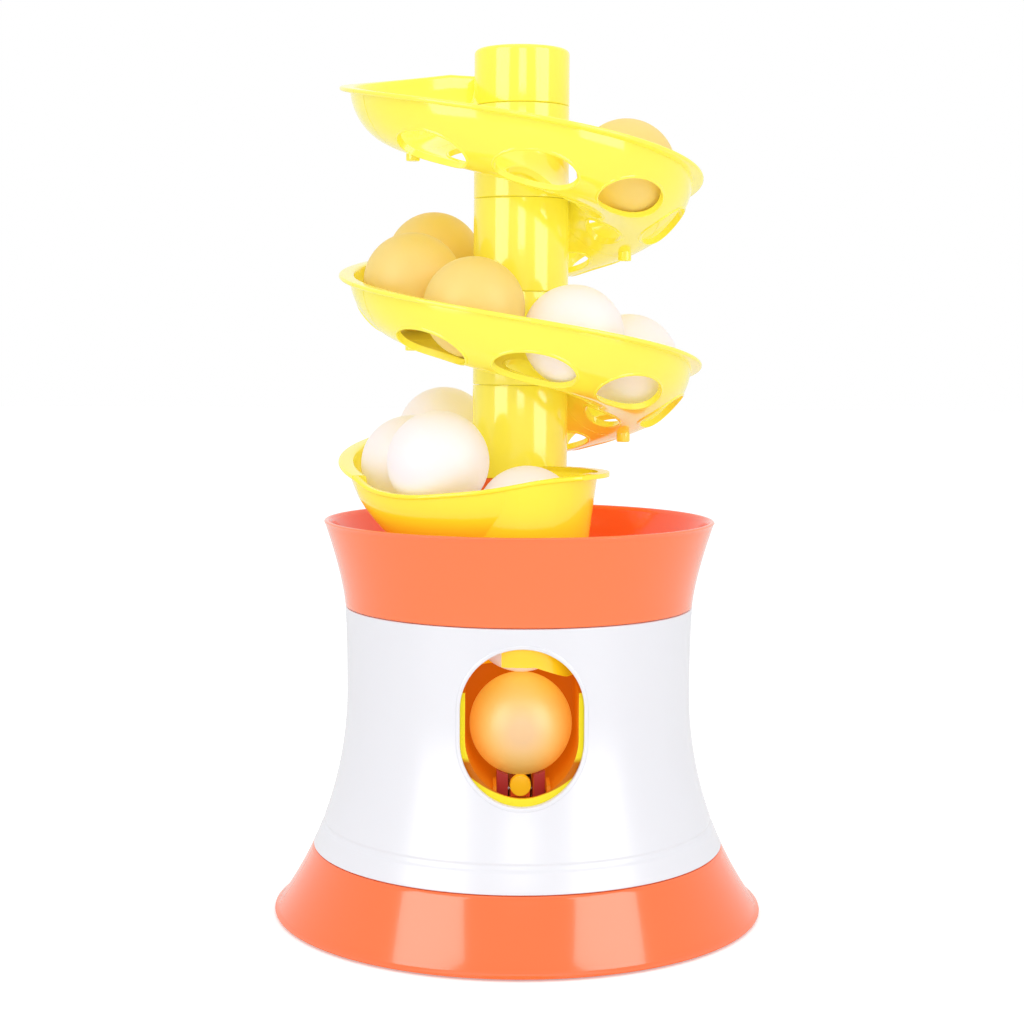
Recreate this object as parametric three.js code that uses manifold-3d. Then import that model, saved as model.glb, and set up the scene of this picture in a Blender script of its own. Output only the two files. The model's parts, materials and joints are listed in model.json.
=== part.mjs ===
import * as THREE from 'three';
import { mergeVertices } from 'three/addons/utils/BufferGeometryUtils.js';
import Module from 'manifold-3d';

const wasm = await Module();
wasm.setup();

// Lengths in millimetres, angles in degrees, +Z up. The ball leaves toward -Y, and azimuth runs
// from +X (0) over the back (90) and the left (180) to the front (270).
const clearance = 0.3; // between pieces that touch
const overrun = 1; // how far every cut runs past what it cuts

const ballRadius = 20;

// Body: base ring, shell and bowl share one waisted outline.
const baseRadius = 99.8;
const footHeight = 0.8;
const shellBottom = 27;
const waistHeight = 90;
const waistRadius = 70.5;
const shellTop = 125;
const shellTopRadius = 71.4;
const bodyWall = 2.2;
const grooveHeight = 37.5; // ring groove round the shell
const grooveWidth = 2;
const grooveDepth = 0.5;
const spigotHeight = 6; // rings that centre base, shell and bowl on each other
const bowlRimHeight = 160.3;
const bowlRimRadius = 80.3;
const bowlFlarePower = 1.38;
const bowlFloorHeight = 132;
const baseLipHeight = 1.2;
const baseLedge = 3; // how far the ring reaches in under the base plate

// Launch window: an upright slot with round ends and a raised edge.
const windowWidth = 47.4;
const windowHeight = 59.6;
const windowCentreHeight = 87.4;
const windowEdgeWidth = 1.6;
const windowEdgeProud = 0.4;

// Column and channel: stacked half-turn pieces round a hollow hub.
const hubRadius = 19.5;
const hubWall = 2.2;
const hubLength = 37.9;
const hubBottom = 177.8;
const hubSpigot = 8;
const capHeight = 23.1;
const capRounding = 2;
const channelRadius = 71; // inner face of the outer wall at the rim
const channelDepth = 22.5;
const channelWall = 2;
const channelDrop = 2.6; // the channel meets the hub this far below its rim
const lipRadius = 74.5;
const lipThickness = 1.8;
const pitch = 76; // fall of the rim in one turn
const seamAzimuth = 206; // where the first half-turn piece starts
const startSpan = 102; // length of the top piece
const capGap = 1.5; // the start of the channel stays this far below the cap's top
const turns = 4; // half-turn pieces
const holeCount = 4; // openings in each half-turn piece
const holeSpacing = 45;
const holeLead = 24; // from the seam to the first opening
const holeLength = 34;
const holeWidth = 21;
const holeTilt = 37; // how far the opening leans out from straight down
const holeReach = 58.5; // radius of the opening's centre
const holeBelowRim = 19;
const pegRadius = 2.8;
const pegLength = 3.2;
const pegLead = 4; // from a seam back to the peg of the piece that ends there

// Final chute: the last quarter turn, which ends over a drop tube.
const chuteSpan = 90;
const chuteDeepening = 0.35; // share by which the channel gets deeper on its way to the tube
const chuteRimShares = [
  // share of the chute's span, share of the pitch that the rim falls below its start
  [0, 0], [0.1, 0.046], [0.21, 0.068], [0.32, 0.071], [0.46, 0.053],
  [0.59, 0.03], [0.77, -0.018], [0.93, -0.04], [1, -0.04],
];
const tubeReach = 45; // the drop tube's axis in front of the column's
const tubeClearance = 0.8; // between a ball and the tube
const tubeWall = 1.8;
const tubeBottom = 105;
const tubeLipHeight = 109.6; // lower edge of the tube in front
const tubeMouthHeight = 118; // top of the notch at the tube's left front
const tubeNotchSide = 8; // the notch starts this far left of the axis
const shaftTopRadius = 27.5; // the tube widens to this at the rim
const shaftTopHeight = 176;
const chuteFootHeight = 9; // blocks under the channel that stand on the bowl's floor

// Launch chamber behind the window.
const launchBallHeight = 84.4;
const stackPitch = 40.3; // between the balls that wait in the tube
const shaftBallSide = 2; // the upper one leans this far to the right
const chuteBallSide = 32.8; // the ball that waits beside them, left of the axis
const chuteBallFront = 43.4;
const chuteBallHeight = 186.3;
const launchRise = 10; // the ball leaves this steeply
const launchTravel = 60;
const cradleHalfWidth = 21.7;
const cradleWall = 2.2;
const cradleBottom = 60.4; // lowest point inside
const cradleStepHeight = 99.5; // above it the side walls step out to hold the tube
const cradleBack = 23.6; // inner face of the back wall in front of the column's axis
const cradleTop = 116;
const cradleLegSide = 16;
const cradleLegWidth = 5;
const cradleLegFront = 52;
const cradleLegBack = 34;
const guideHalfWidth = 9.3;
const guideFront = 54;
const guideBack = 34;
const guideTop = 70;
const guideSlot = 5; // half width
const guideTabWidth = 1;
const guideTabHeight = 3.2;
const guideTabGap = 0.4;

// Striker: a lever on an axle, cocked by a crank pin under its tail.
const strikerPivot = new THREE.Vector2(-12, 51); // (y, z)
const strikerHalfWidth = 3.8;
const strikerTail = 19;
const strikerThickness = 3;
const strikerHub = 4.2;
const strikerArm = 5; // depth of the arm
const bossRadius = 4.1;
const bossCentre = new THREE.Vector2(-47, 59.9);
const bossThickness = 3.4;
const strikerSwing = 25;
const axleRadius = 1.5;
const springRadius = 5;
const springWire = 1.1;
const springTurns = 4;

// Gear train, side by side along X.
const gearModule = 0.8;
const gearTeeth = 36;
const pinionTeeth = 10;
const gearThickness = 3.5;
const camSide = 5.5; // near face of the cam gear
const gearGap = 1; // between the two gear planes
const camCentre = new THREE.Vector2(6, 38.2);
const idlerAngle = 39.9; // direction from the cam to the idler, in the YZ plane
const motorAngle = 20; // direction from the idler to the motor
const crankRadius = 9;
const crankPin = 2;
const crankAngle = 65;
const motorRadius = 10;
const motorLength = 25;
const plateThickness = 2.5;
const plateLeft = -15; // outer face of the left plate
const plateRight = 14; // inner face of the right plate
const plateFront = -19;
const plateBack = 50;
const plateTop = 70;

// Base plate, batteries and switch.
const plateFloor = 3; // underside of the base plate
const floorThickness = 2.6;
const footRadius = 7;
const footReach = 84;
const footCount = 4;
const cellRadius = 7.25;
const cellLength = 50.5;
const cellCount = 4;
const cellGap = 0.6;
const trayWall = 1.6;
const trayBack = 30;
const trayHeight = 17;
const contactThickness = 0.6;
const doorThickness = 1.6;
const doorMargin = 3; // the door is this much smaller than the tray all round
const doorTravel = 12;
const switchHeight = 50;
const knobHalfWidth = 4;
const knobHalfHeight = 3;
const knobProud = 2.5;
const knobTravel = 3;
const switchHalfWidth = 11;
const switchHalfHeight = 6;
const switchDepth = 9;
const switchSkin = 1.2; // thickness of its front plate

// How fine the faces are.
const bodySides = 36;
const hubSides = 18;
const holeSides = 10;
const rodSides = 12;
const ballSides = 12;
const ballRings = 8;
const bodySteps = 6;
const channelStep = 15; // degrees per step of the sweep
const sectionSteps = 6;
const arcSteps = 6;

const radians = THREE.MathUtils.degToRad;
const lerp = THREE.MathUtils.lerp;
const steps = (count) => Array.from({ length: count + 1 }, (_, i) => i / count);

// Solids: any closed geometry becomes one that can be joined and cut.
function solid(geometry) {
  const bare = geometry.index ? geometry.toNonIndexed() : geometry.clone();
  bare.deleteAttribute('normal');
  bare.deleteAttribute('uv');
  const merged = mergeVertices(bare, 1e-4);
  const place = merged.attributes.position.array;
  const corners = [];
  for (let i = 0; i < merged.index.count; i += 3) {
    const [a, b, c] = merged.index.array.slice(i, i + 3);
    if (a !== b && b !== c && c !== a) corners.push(a, b, c);
  }
  const at = (i) => new THREE.Vector3().fromArray(place, 3 * i);
  let volume = 0;
  for (let i = 0; i < corners.length; i += 3) {
    volume += at(corners[i]).dot(at(corners[i + 1]).cross(at(corners[i + 2])));
  }
  if (volume < 0) corners.reverse();
  return new wasm.Manifold(new wasm.Mesh({
    numProp: 3, vertProperties: new Float32Array(place), triVerts: new Uint32Array(corners),
  }));
}

function geometryOf(body) {
  const mesh = body.getMesh();
  const geometry = new THREE.BufferGeometry();
  geometry.setAttribute('position', new THREE.BufferAttribute(mesh.vertProperties, 3));
  geometry.setIndex(new THREE.BufferAttribute(mesh.triVerts, 1));
  return geometry.toNonIndexed();
}

const box = (x0, x1, y0, y1, z0, z1) => solid(new THREE.BoxGeometry(x1 - x0, y1 - y0, z1 - z0)
  .translate((x0 + x1) / 2, (y0 + y1) / 2, (z0 + z1) / 2));

// A turned solid about Z from [radius, height] pairs; the outline closes on itself.
const turned = (outline, sides) => solid(new THREE.LatheGeometry(
  [...outline, outline[0]].map(([r, z]) => new THREE.Vector2(r, z)), sides,
).rotateX(Math.PI / 2));

// Round bars: upright at (x, y), and across the body at (y, z).
const post = (x, y, radius, z0, z1, sides = hubSides) => solid(
  new THREE.CylinderGeometry(radius, radius, z1 - z0, sides)
    .rotateX(Math.PI / 2).translate(x, y, (z0 + z1) / 2));
const bar = (centre, radius, x0, x1, sides = rodSides) => solid(
  new THREE.CylinderGeometry(radius, radius, x1 - x0, sides)
    .rotateZ(Math.PI / 2).translate((x0 + x1) / 2, centre.x, centre.y));

// An outline drawn in (x, z) and pushed from y0 to y1.
const throughFront = (shape, y0, y1) => solid(new THREE.ExtrudeGeometry(shape, {
  depth: y1 - y0, bevelEnabled: false, curveSegments: arcSteps,
}).rotateX(Math.PI / 2).translate(0, y1, 0));

// An outline drawn in (y, z) and pushed from x0 to x1.
const across = (shape, x0, x1) => solid(new THREE.ExtrudeGeometry(shape, {
  depth: x1 - x0, bevelEnabled: false, curveSegments: arcSteps,
}).rotateX(Math.PI / 2).rotateZ(Math.PI / 2).translate(x0, 0, 0));

const polygon = (points) => new THREE.Shape(points.map(([x, y]) => new THREE.Vector2(x, y)));

const root = new THREE.Group();
root.name = 'table_tennis_robot';

function piece(name, body, material, group = root) {
  const mesh = new THREE.Mesh(geometryOf(body), material);
  mesh.geometry.computeVertexNormals();
  mesh.name = name;
  group.add(mesh);
  return mesh;
}

const plastic = (color, roughness = 0.25) =>
  new THREE.MeshStandardMaterial({ color, roughness, metalness: 0 });
const metal = (color, roughness = 0.3) =>
  new THREE.MeshStandardMaterial({ color, roughness, metalness: 1 });
const orangeGloss = plastic(0xff8048);
const whiteGloss = plastic(0xf5f6fb);
const yellowGloss = plastic(0xfde92f);
const redGloss = plastic(0xd9481f);
const orangeBall = plastic(0xfdc469, 0.55);
const whiteBall = plastic(0xfff7f4, 0.55);
const whiteGear = plastic(0xe9e6de, 0.45);
const greyPlastic = plastic(0x5b5d60, 0.5);
const darkRubber = plastic(0x2c2c2e, 0.8);
const steel = metal(0xc4c7ca);
const cellSleeve = plastic(0x3f6f8a, 0.4);

// Body outline: one arc flares from the waist to the foot, and the bowl opens again above.
const flareRadius = ((baseRadius - waistRadius) ** 2 + waistHeight ** 2)
  / (2 * (baseRadius - waistRadius));

function bodyRadius(z) {
  if (z > waistHeight) {
    return lerp(waistRadius, shellTopRadius, ((z - waistHeight) / (shellTop - waistHeight)) ** 2);
  }
  return waistRadius + flareRadius - Math.sqrt(flareRadius ** 2 - (waistHeight - z) ** 2);
}

const bowlRadius = (z) => shellTopRadius + (bowlRimRadius - shellTopRadius)
  * (Math.max(z - shellTop, 0) / (bowlRimHeight - shellTop)) ** bowlFlarePower;

const along = (radius, z0, z1, count, inset = 0) =>
  steps(count).map((s) => lerp(z0, z1, s)).map((z) => [radius(z) - inset, z]);
const reversed = (points) => [...points].reverse();

// Base ring: flared skirt, ledge under the plate and a ring that enters the shell.
const ringTop = shellBottom - clearance / 2;
const inset = bodyWall + clearance;
const baseRing = turned([
  [bodyRadius(0) - inset - baseLedge, footHeight],
  [bodyRadius(0), footHeight],
  [bodyRadius(0), footHeight + baseLipHeight / 2],
  [bodyRadius(footHeight + baseLipHeight), footHeight + baseLipHeight],
  ...along(bodyRadius, footHeight + 2 * baseLipHeight, ringTop, bodySteps / 2),
  [bodyRadius(ringTop) - inset, ringTop],
  [bodyRadius(ringTop + spigotHeight) - inset, ringTop + spigotHeight],
  [bodyRadius(ringTop + spigotHeight) - inset - bodyWall, ringTop + spigotHeight],
  ...reversed(along(bodyRadius, plateFloor, ringTop, 1, inset + bodyWall)),
  [bodyRadius(0) - inset - baseLedge, plateFloor - clearance],
], bodySides);

// White shell: waisted wall with a ring groove and the window.
const shellFoot = shellBottom + clearance / 2;
const shellHead = shellTop - clearance / 2;
const grooveTop = grooveHeight + grooveWidth / 2;
const shellOutside = (proud) => [
  ...along(bodyRadius, shellFoot, grooveHeight - grooveWidth / 2, 2, -proud),
  [bodyRadius(grooveHeight) - grooveDepth + proud, grooveHeight],
  ...along(bodyRadius, grooveTop, waistHeight, bodySteps, -proud),
  ...along(bodyRadius, waistHeight, shellHead, 2, -proud).slice(1),
];
const shellInside = (gap) => reversed([
  ...along(bodyRadius, shellFoot, waistHeight, bodySteps / 2, bodyWall + gap),
  [bodyRadius(shellHead) - bodyWall - gap, shellHead],
]);

function slot(width, height) {
  const shape = new THREE.Shape();
  const r = width / 2;
  const rise = height / 2 - r;
  shape.moveTo(r, windowCentreHeight - rise);
  shape.lineTo(r, windowCentreHeight + rise);
  shape.absarc(0, windowCentreHeight + rise, r, 0, Math.PI);
  shape.lineTo(-r, windowCentreHeight - rise);
  shape.absarc(0, windowCentreHeight - rise, r, Math.PI, 2 * Math.PI);
  return shape;
}
const front = -baseRadius;
const windowCut = throughFront(slot(windowWidth, windowHeight), front, -tubeReach);
const windowEdge = throughFront(
  slot(windowWidth + 2 * windowEdgeWidth, windowHeight + 2 * windowEdgeWidth), front, -tubeReach,
).intersect(turned([...shellOutside(windowEdgeProud), ...shellInside(-bodyWall / 2)], bodySides));

const switchSlot = knobHalfWidth + knobTravel + clearance;
const switchLift = knobHalfHeight + clearance;
const shell = turned([...shellOutside(0), ...shellInside(0)], bodySides)
  .add(windowEdge)
  .subtract(windowCut)
  .subtract(box(-switchSlot, switchSlot, tubeReach, baseRadius,
    switchHeight - switchLift, switchHeight + switchLift));

// Bowl: flared wall, floor, spigot into the shell and the post that carries the column.
const bowlFoot = shellTop + clearance / 2;
const bowlSkirt = bodyRadius(shellTop) - inset;
const postTop = hubBottom - clearance / 2;
const spigotRadius = hubRadius - hubWall - clearance;
const spigotInside = spigotRadius - hubWall;
const rimRound = bodyWall / 2;
const bowlFloorRadius = bowlRadius(bowlFloorHeight) - bodyWall;
const tubeInside = ballRadius + tubeClearance;
const tubeOutside = tubeInside + tubeWall;
const bowl = turned([
  [bowlSkirt - bodyWall, shellTop - spigotHeight],
  [bowlSkirt, shellTop - spigotHeight],
  [bowlSkirt, bowlFoot],
  ...along(bowlRadius, bowlFoot, bowlRimHeight - rimRound, bodySteps / 2),
  [bowlRadius(bowlRimHeight) - rimRound, bowlRimHeight],
  ...reversed(along(bowlRadius, bowlFloorHeight, bowlRimHeight - rimRound, 2, bodyWall)),
  [hubRadius - hubWall / 2, bowlFloorHeight],
  [hubRadius - hubWall / 2, bowlFloorHeight - bodyWall],
  [bowlSkirt - bodyWall, bowlFloorHeight - bodyWall],
], bodySides).add(turned([
  [hubRadius, bowlFloorHeight - bodyWall],
  [hubRadius, postTop],
  [spigotRadius, postTop],
  [spigotRadius, postTop + hubSpigot],
  [spigotInside, postTop + hubSpigot],
  [spigotInside, bowlFloorHeight - bodyWall],
], hubSides)).subtract(post(0, -tubeReach, tubeOutside + clearance,
  shellTop - spigotHeight - overrun, bowlFloorHeight + overrun));

piece('base_ring', baseRing, orangeGloss);
piece('white_shell', shell, whiteGloss);
piece('top_bowl', bowl, orangeGloss);

// Channel: a half-elliptic trough carried round the column, with a turned-out lip.
const rimAt = (azimuth) => hubBottom + turns * hubLength + channelDrop
  - pitch * (azimuth - seamAzimuth) / 360;
const channelReach = (hubRadius + channelRadius) / 2;
const channelHalf = (channelRadius - hubRadius) / 2;
const seamGap = THREE.MathUtils.radToDeg(clearance / channelReach) / 2;

function channelSection() {
  const arc = (half, depth, from, to) => steps(sectionSteps).map((s) => {
    const angle = lerp(from, to, s);
    return [channelReach + half * Math.cos(angle), -depth * Math.sin(angle)];
  });
  const root0 = hubRadius - hubWall / 2;
  const outerHalf = channelHalf + channelWall;
  const outerDepth = channelDepth + channelWall;
  return polygon([
    [channelRadius, 0],
    [lipRadius, 0],
    [lipRadius, -lipThickness],
    ...reversed(arc(outerHalf, outerDepth,
      Math.acos((root0 - channelReach) / outerHalf), Math.asin(lipThickness / outerDepth))),
    [root0, -channelDrop],
    ...arc(channelHalf, channelDepth, Math.PI - Math.asin(channelDrop / channelDepth), 0)
      .slice(0, -1),
  ].reverse());
}

// Carries a section down the helix; `deepen` stretches it as it goes.
function sweep(section, start, end, rim = rimAt, deepen = () => 1) {
  const geometry = new THREE.ExtrudeGeometry(section, {
    depth: end - start, steps: Math.ceil((end - start) / channelStep), bevelEnabled: false,
  });
  const place = geometry.attributes.position;
  for (let i = 0; i < place.count; i += 1) {
    const azimuth = end - place.getZ(i);
    const angle = radians(azimuth);
    const radius = place.getX(i);
    place.setXYZ(i, radius * Math.cos(angle), radius * Math.sin(angle),
      rim(azimuth) + place.getY(i) * deepen(azimuth));
  }
  return solid(geometry);
}

// The point and outward lean of the channel wall at an opening.
function holeCutter(azimuth) {
  const out = new THREE.Vector3(Math.cos(radians(azimuth)), Math.sin(radians(azimuth)), 0);
  const fall = Math.atan(pitch / (2 * Math.PI * holeReach));
  const down = new THREE.Vector3(0, 0, -1);
  const ahead = down.clone().cross(out).negate().multiplyScalar(Math.cos(fall))
    .addScaledVector(down, Math.sin(fall)).normalize();
  const lean = down.clone().multiplyScalar(Math.cos(radians(holeTilt)))
    .addScaledVector(out, Math.sin(radians(holeTilt)));
  lean.addScaledVector(ahead, -lean.dot(ahead)).normalize();
  const basis = new THREE.Matrix4().makeBasis(ahead, lean.clone().cross(ahead), lean);
  basis.setPosition(out.multiplyScalar(holeReach).setZ(rimAt(azimuth) - holeBelowRim));
  return solid(new THREE.CylinderGeometry(1, 1, holeWidth / 2, holeSides)
    .rotateX(Math.PI / 2).scale(holeLength / 2, holeWidth / 2, 1).applyMatrix4(basis));
}

// One hub: a tube with a spigot that enters the piece above it.
function hub(z0, z1) {
  return turned([
    [hubRadius - hubWall, z0 + clearance / 2],
    [hubRadius, z0 + clearance / 2],
    [hubRadius, z1 - clearance / 2],
    [spigotRadius, z1 - clearance / 2],
    [spigotRadius, z1 - clearance / 2 + hubSpigot],
    [spigotInside, z1 - clearance / 2 + hubSpigot],
    [spigotInside, z1 - hubWall],
    [hubRadius - hubWall, z1 - 2 * hubWall],
  ], hubSides);
}

const peg = (azimuth) => {
  const foot = rimAt(azimuth) - channelDepth - channelWall;
  return post(channelReach * Math.cos(radians(azimuth)), channelReach * Math.sin(radians(azimuth)),
    pegRadius, foot - pegLength, foot + channelWall / 2, rodSides);
};

// Keeps a channel off the hubs of its neighbours: only its own hub's height may carry it.
const shadowRadius = (hubRadius + clearance) / Math.cos(Math.PI / hubSides);
const hubShadow = (z0, z1) => post(0, 0, shadowRadius, z0, z1);

function halfTurn(index) {
  const z1 = hubBottom + (turns - index) * hubLength;
  const z0 = z1 - hubLength;
  const start = seamAzimuth + 180 * index;
  const end = start + 180;
  let body = sweep(channelSection(), start + seamGap, end - seamGap)
    .subtract(hubShadow(z0 - pitch, z0 + clearance / 2))
    .subtract(hubShadow(z1 - clearance / 2, z1 + pitch))
    .subtract(post(0, 0, hubRadius - hubWall / 2, z0, z1))
    .add(hub(z0, z1));
  for (let i = 0; i < holeCount; i += 1) {
    body = body.subtract(holeCutter(start + holeLead + holeSpacing * i));
  }
  return body.add(peg(end - pegLead));
}

// Top piece: capped hub and the first stretch of channel, closed at its upper end.
const capBottom = hubBottom + turns * hubLength;
const capTop = capBottom + capHeight;
const startAzimuth = seamAzimuth - startSpan;
const startRim = (azimuth) => Math.min(rimAt(azimuth), capTop - capGap);
const endSection = polygon([
  [lipRadius, 0], [lipRadius, -lipThickness], ...steps(sectionSteps).map((s) => [
    channelReach + (channelHalf + channelWall) * Math.cos(Math.PI * s),
    -(channelDepth + channelWall) * Math.sin(Math.PI * s)]).slice(1, -1),
  [hubRadius - hubWall / 2, 0],
]);
const wallSpan = THREE.MathUtils.radToDeg(channelWall / channelReach);
const cap = turned([
  [hubRadius - hubWall, capBottom + clearance / 2],
  [hubRadius, capBottom + clearance / 2],
  [hubRadius, capTop - capRounding],
  [hubRadius - capRounding * (1 - Math.SQRT1_2), capTop - capRounding * (1 - Math.SQRT1_2)],
  [hubRadius - capRounding, capTop],
  [0, capTop],
  [0, capTop - hubWall],
  [hubRadius - hubWall, capTop - hubWall],
], hubSides);
const trackStart = sweep(channelSection(), startAzimuth, seamAzimuth - seamGap, startRim)
  .add(sweep(endSection, startAzimuth, startAzimuth + wallSpan, startRim))
  .subtract(hubShadow(capBottom - pitch, capBottom + clearance / 2))
  .subtract(post(0, 0, hubRadius - hubWall / 2, capBottom, capTop + overrun))
  .add(cap)
  .add(peg(seamAzimuth - pegLead));

const tower = new THREE.Group();
root.add(tower);
piece('track_start', trackStart, yellowGloss, tower);
for (let i = 0; i < turns; i += 1) {
  piece(`track_turn_${i + 1}`, halfTurn(i), yellowGloss, tower);
}

// Balls that wait on the channel: azimuth along the helix counted from the first seam.
function ball(name, x, y, z, material, group) {
  const mesh = new THREE.Mesh(
    mergeVertices(new THREE.SphereGeometry(ballRadius, ballSides, ballRings)), material);
  mesh.name = name;
  mesh.position.set(x, y, z);
  group.add(mesh);
}
const ballSink = 1.3; // a ball's centre lies this far below the rim
const onChannel = (name, azimuth, material) => ball(name,
  channelReach * Math.cos(radians(azimuth)), channelReach * Math.sin(radians(azimuth)),
  rimAt(azimuth) - ballSink, material, tower);

// Final chute: channel that deepens, end wall, and the tube that drops balls behind the window.
const chuteStart = seamAzimuth + 180 * turns;
const chuteEnd = chuteStart + chuteSpan;
function chuteRim(azimuth) {
  const share = (azimuth - chuteStart) / chuteSpan;
  const next = Math.max(1, chuteRimShares.findIndex(([s]) => s >= share));
  const [s0, f0] = chuteRimShares[next - 1];
  const [s1, f1] = chuteRimShares[next];
  const fall = lerp(f0, f1, (share - s0) / (s1 - s0));
  return rimAt(chuteStart) - pitch * fall;
}
const chuteDeep = (azimuth) => 1 + chuteDeepening * Math.min(1, (azimuth - chuteStart) / (chuteSpan / 2));
const chuteFloor = rimAt(chuteStart) - (channelDepth + channelWall) * (1 + chuteDeepening);
const tubeAt = (radius, z0, z1) => post(0, -tubeReach, radius, z0, z1);
const shaft = turned([
  [0, tubeBottom], [tubeOutside, tubeBottom], [tubeOutside, bowlFloorHeight],
  [shaftTopRadius, shaftTopHeight], [0, shaftTopHeight],
], hubSides).translate([0, -tubeReach, 0]);
const shaftBore = turned([
  [0, tubeBottom - overrun], [tubeInside, tubeBottom - overrun], [tubeInside, bowlFloorHeight],
  [shaftTopRadius - tubeWall, shaftTopHeight], [shaftTopRadius - tubeWall, shaftTopHeight + pitch],
  [0, shaftTopHeight + pitch],
], hubSides).translate([0, -tubeReach, 0]);
const tubeLip = across(polygon([
  [-tubeReach - tubeOutside - overrun, tubeBottom - overrun],
  [-tubeReach, tubeBottom - overrun], [-tubeReach, tubeLipHeight],
  [-tubeReach - tubeOutside - overrun, tubeLipHeight]]), -tubeInside, tubeReach / 4);
const tubeNotch = box(-tubeOutside - overrun, -tubeNotchSide, -tubeReach - tubeOutside - overrun,
  -tubeReach, tubeBottom - overrun, tubeMouthHeight);
const chuteFoot = (azimuth) => {
  const x = channelReach * Math.cos(radians(azimuth));
  const y = channelReach * Math.sin(radians(azimuth));
  return post(x, y, pegRadius, bowlFloorHeight + clearance, chuteFloor + chuteFootHeight, rodSides);
};
const ballWay = polygon([
  [hubRadius, ballRadius], [hubRadius, 0],
  ...steps(sectionSteps).map((s) => [channelReach - channelHalf * Math.cos(Math.PI * s),
    -channelDepth * Math.sin(Math.PI * s)]).slice(1, -1),
  [channelRadius, 0], [channelRadius, ballRadius]]);
const finalChute = sweep(channelSection(), chuteStart + seamGap, chuteEnd, chuteRim, chuteDeep)
  .add(shaft)
  .subtract(sweep(ballWay, chuteStart, chuteEnd - wallSpan, chuteRim, chuteDeep))
  .add(sweep(endSection, chuteEnd - wallSpan, chuteEnd, chuteRim, chuteDeep))
  .subtract(shaftBore)
  .subtract(hubShadow(bowlFloorHeight, capBottom))
  .subtract(tubeLip)
  .subtract(tubeNotch)
  .add(chuteFoot(chuteStart + chuteSpan / 8));
piece('final_chute', finalChute, yellowGloss);

// Launch cradle: a U round the ball behind the window, open to the front and above.
const cradleRise = cradleBottom + cradleHalfWidth;
const cradleShape = (half, top) => {
  const shape = new THREE.Shape();
  shape.moveTo(half, cradleRise);
  shape.lineTo(half, top);
  shape.lineTo(-half, top);
  shape.lineTo(-half, cradleRise);
  shape.absarc(0, cradleRise, half, Math.PI, 2 * Math.PI);
  return shape;
};
const insideShell = turned([[0, shellFoot], ...reversed(shellInside(clearance)),
  [0, shellHead]], bodySides);
const cradleOuter = cradleHalfWidth + cradleWall;
const collarInside = tubeOutside + clearance;
const cradleEnd = -cradleBack + cradleWall;
const slotTop = strikerPivot.y + strikerTail;
const cradle = throughFront(cradleShape(cradleOuter, cradleTop), front, cradleEnd)
  .intersect(insideShell)
  .subtract(throughFront(cradleShape(cradleHalfWidth, cradleTop + overrun), front, -cradleBack))
  .subtract(box(-collarInside, collarInside, front, -cradleBack, cradleStepHeight,
    cradleTop + overrun))
  .subtract(post(0, -tubeReach, collarInside, cradleStepHeight, cradleTop + overrun))
  .subtract(box(-cradleOuter, cradleOuter, front, -tubeReach - tubeOutside / 2, cradleStepHeight,
    cradleTop + overrun))
  .subtract(box(-guideHalfWidth - clearance, guideHalfWidth + clearance,
    -guideFront - clearance, -guideBack + clearance, plateFloor, cradleRise))
  .subtract(box(-guideSlot, guideSlot, -guideBack, 0, plateFloor, slotTop))
  .add(box(-cradleLegSide - cradleLegWidth, -cradleLegSide, -cradleLegFront, -cradleLegBack,
    plateFloor + floorThickness + clearance, cradleBottom + cradleLegWidth)
    .subtract(throughFront(cradleShape(cradleHalfWidth, cradleTop), front, -cradleBack)))
  .add(box(cradleLegSide, cradleLegSide + cradleLegWidth, -cradleLegFront, -cradleLegBack,
    plateFloor + floorThickness + clearance, cradleBottom + cradleLegWidth)
    .subtract(throughFront(cradleShape(cradleHalfWidth, cradleTop), front, -cradleBack)));
piece('launch_cradle', cradle, yellowGloss);

// Ball guide: two cheeks that follow the ball's underside, with the striker's slot between.
const launchPath = new THREE.Vector3(0, -Math.cos(radians(launchRise)), Math.sin(radians(launchRise)));
const launchStart = new THREE.Vector3(0, -tubeReach, launchBallHeight);
const ballRoom = ballRadius / Math.cos(Math.PI / hubSides) + clearance;
const pathAxis = new THREE.Quaternion().setFromUnitVectors(new THREE.Vector3(0, 1, 0), launchPath);
const ballSweep = solid(new THREE.CylinderGeometry(ballRoom, ballRoom, launchTravel, hubSides)
  .translate(0, launchTravel / 2, 0).applyQuaternion(pathAxis)
  .translate(...launchStart.toArray()))
  .add(solid(new THREE.SphereGeometry(ballRoom, hubSides, hubSides / 2)
    .translate(...launchStart.toArray())));
const guideFloor = plateFloor + floorThickness + clearance;
const tabOut = guideHalfWidth - guideTabGap;
const guide = box(-guideHalfWidth, guideHalfWidth, -guideFront, -guideBack, guideFloor, guideTop)
  .subtract(box(-guideSlot, guideSlot, front, 0, cradleBottom - strikerArm - bossRadius, guideTop + overrun))
  .subtract(ballSweep);
piece('ball_guide', guide, redGloss);

// Base plate with posts for the feet, and the round feet under it.
const plateRadius = bodyRadius(plateFloor + floorThickness) - inset - bodyWall - clearance;
const doorHalfX = cellCount * (2 * cellRadius + cellGap) / 2 - doorMargin;
const trayFront = trayBack - cellLength - 2 * (contactThickness + trayWall + clearance);
const floorTop = plateFloor + floorThickness;
const basePlate = post(0, 0, plateRadius, plateFloor, floorTop, bodySides)
  .subtract(box(-doorHalfX - clearance, doorHalfX + clearance, trayFront + doorMargin - clearance,
    trayBack - doorMargin + clearance, 0, floorTop + overrun));
piece('base_plate', basePlate, greyPlastic);
for (let i = 0; i < footCount; i += 1) {
  const angle = radians(360 / footCount * (i + 1 / 2));
  piece(`rubber_foot_${i + 1}`, post(footReach * Math.cos(angle), footReach * Math.sin(angle),
    footRadius, 0, plateFloor - clearance, rodSides), darkRubber);
}

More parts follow.
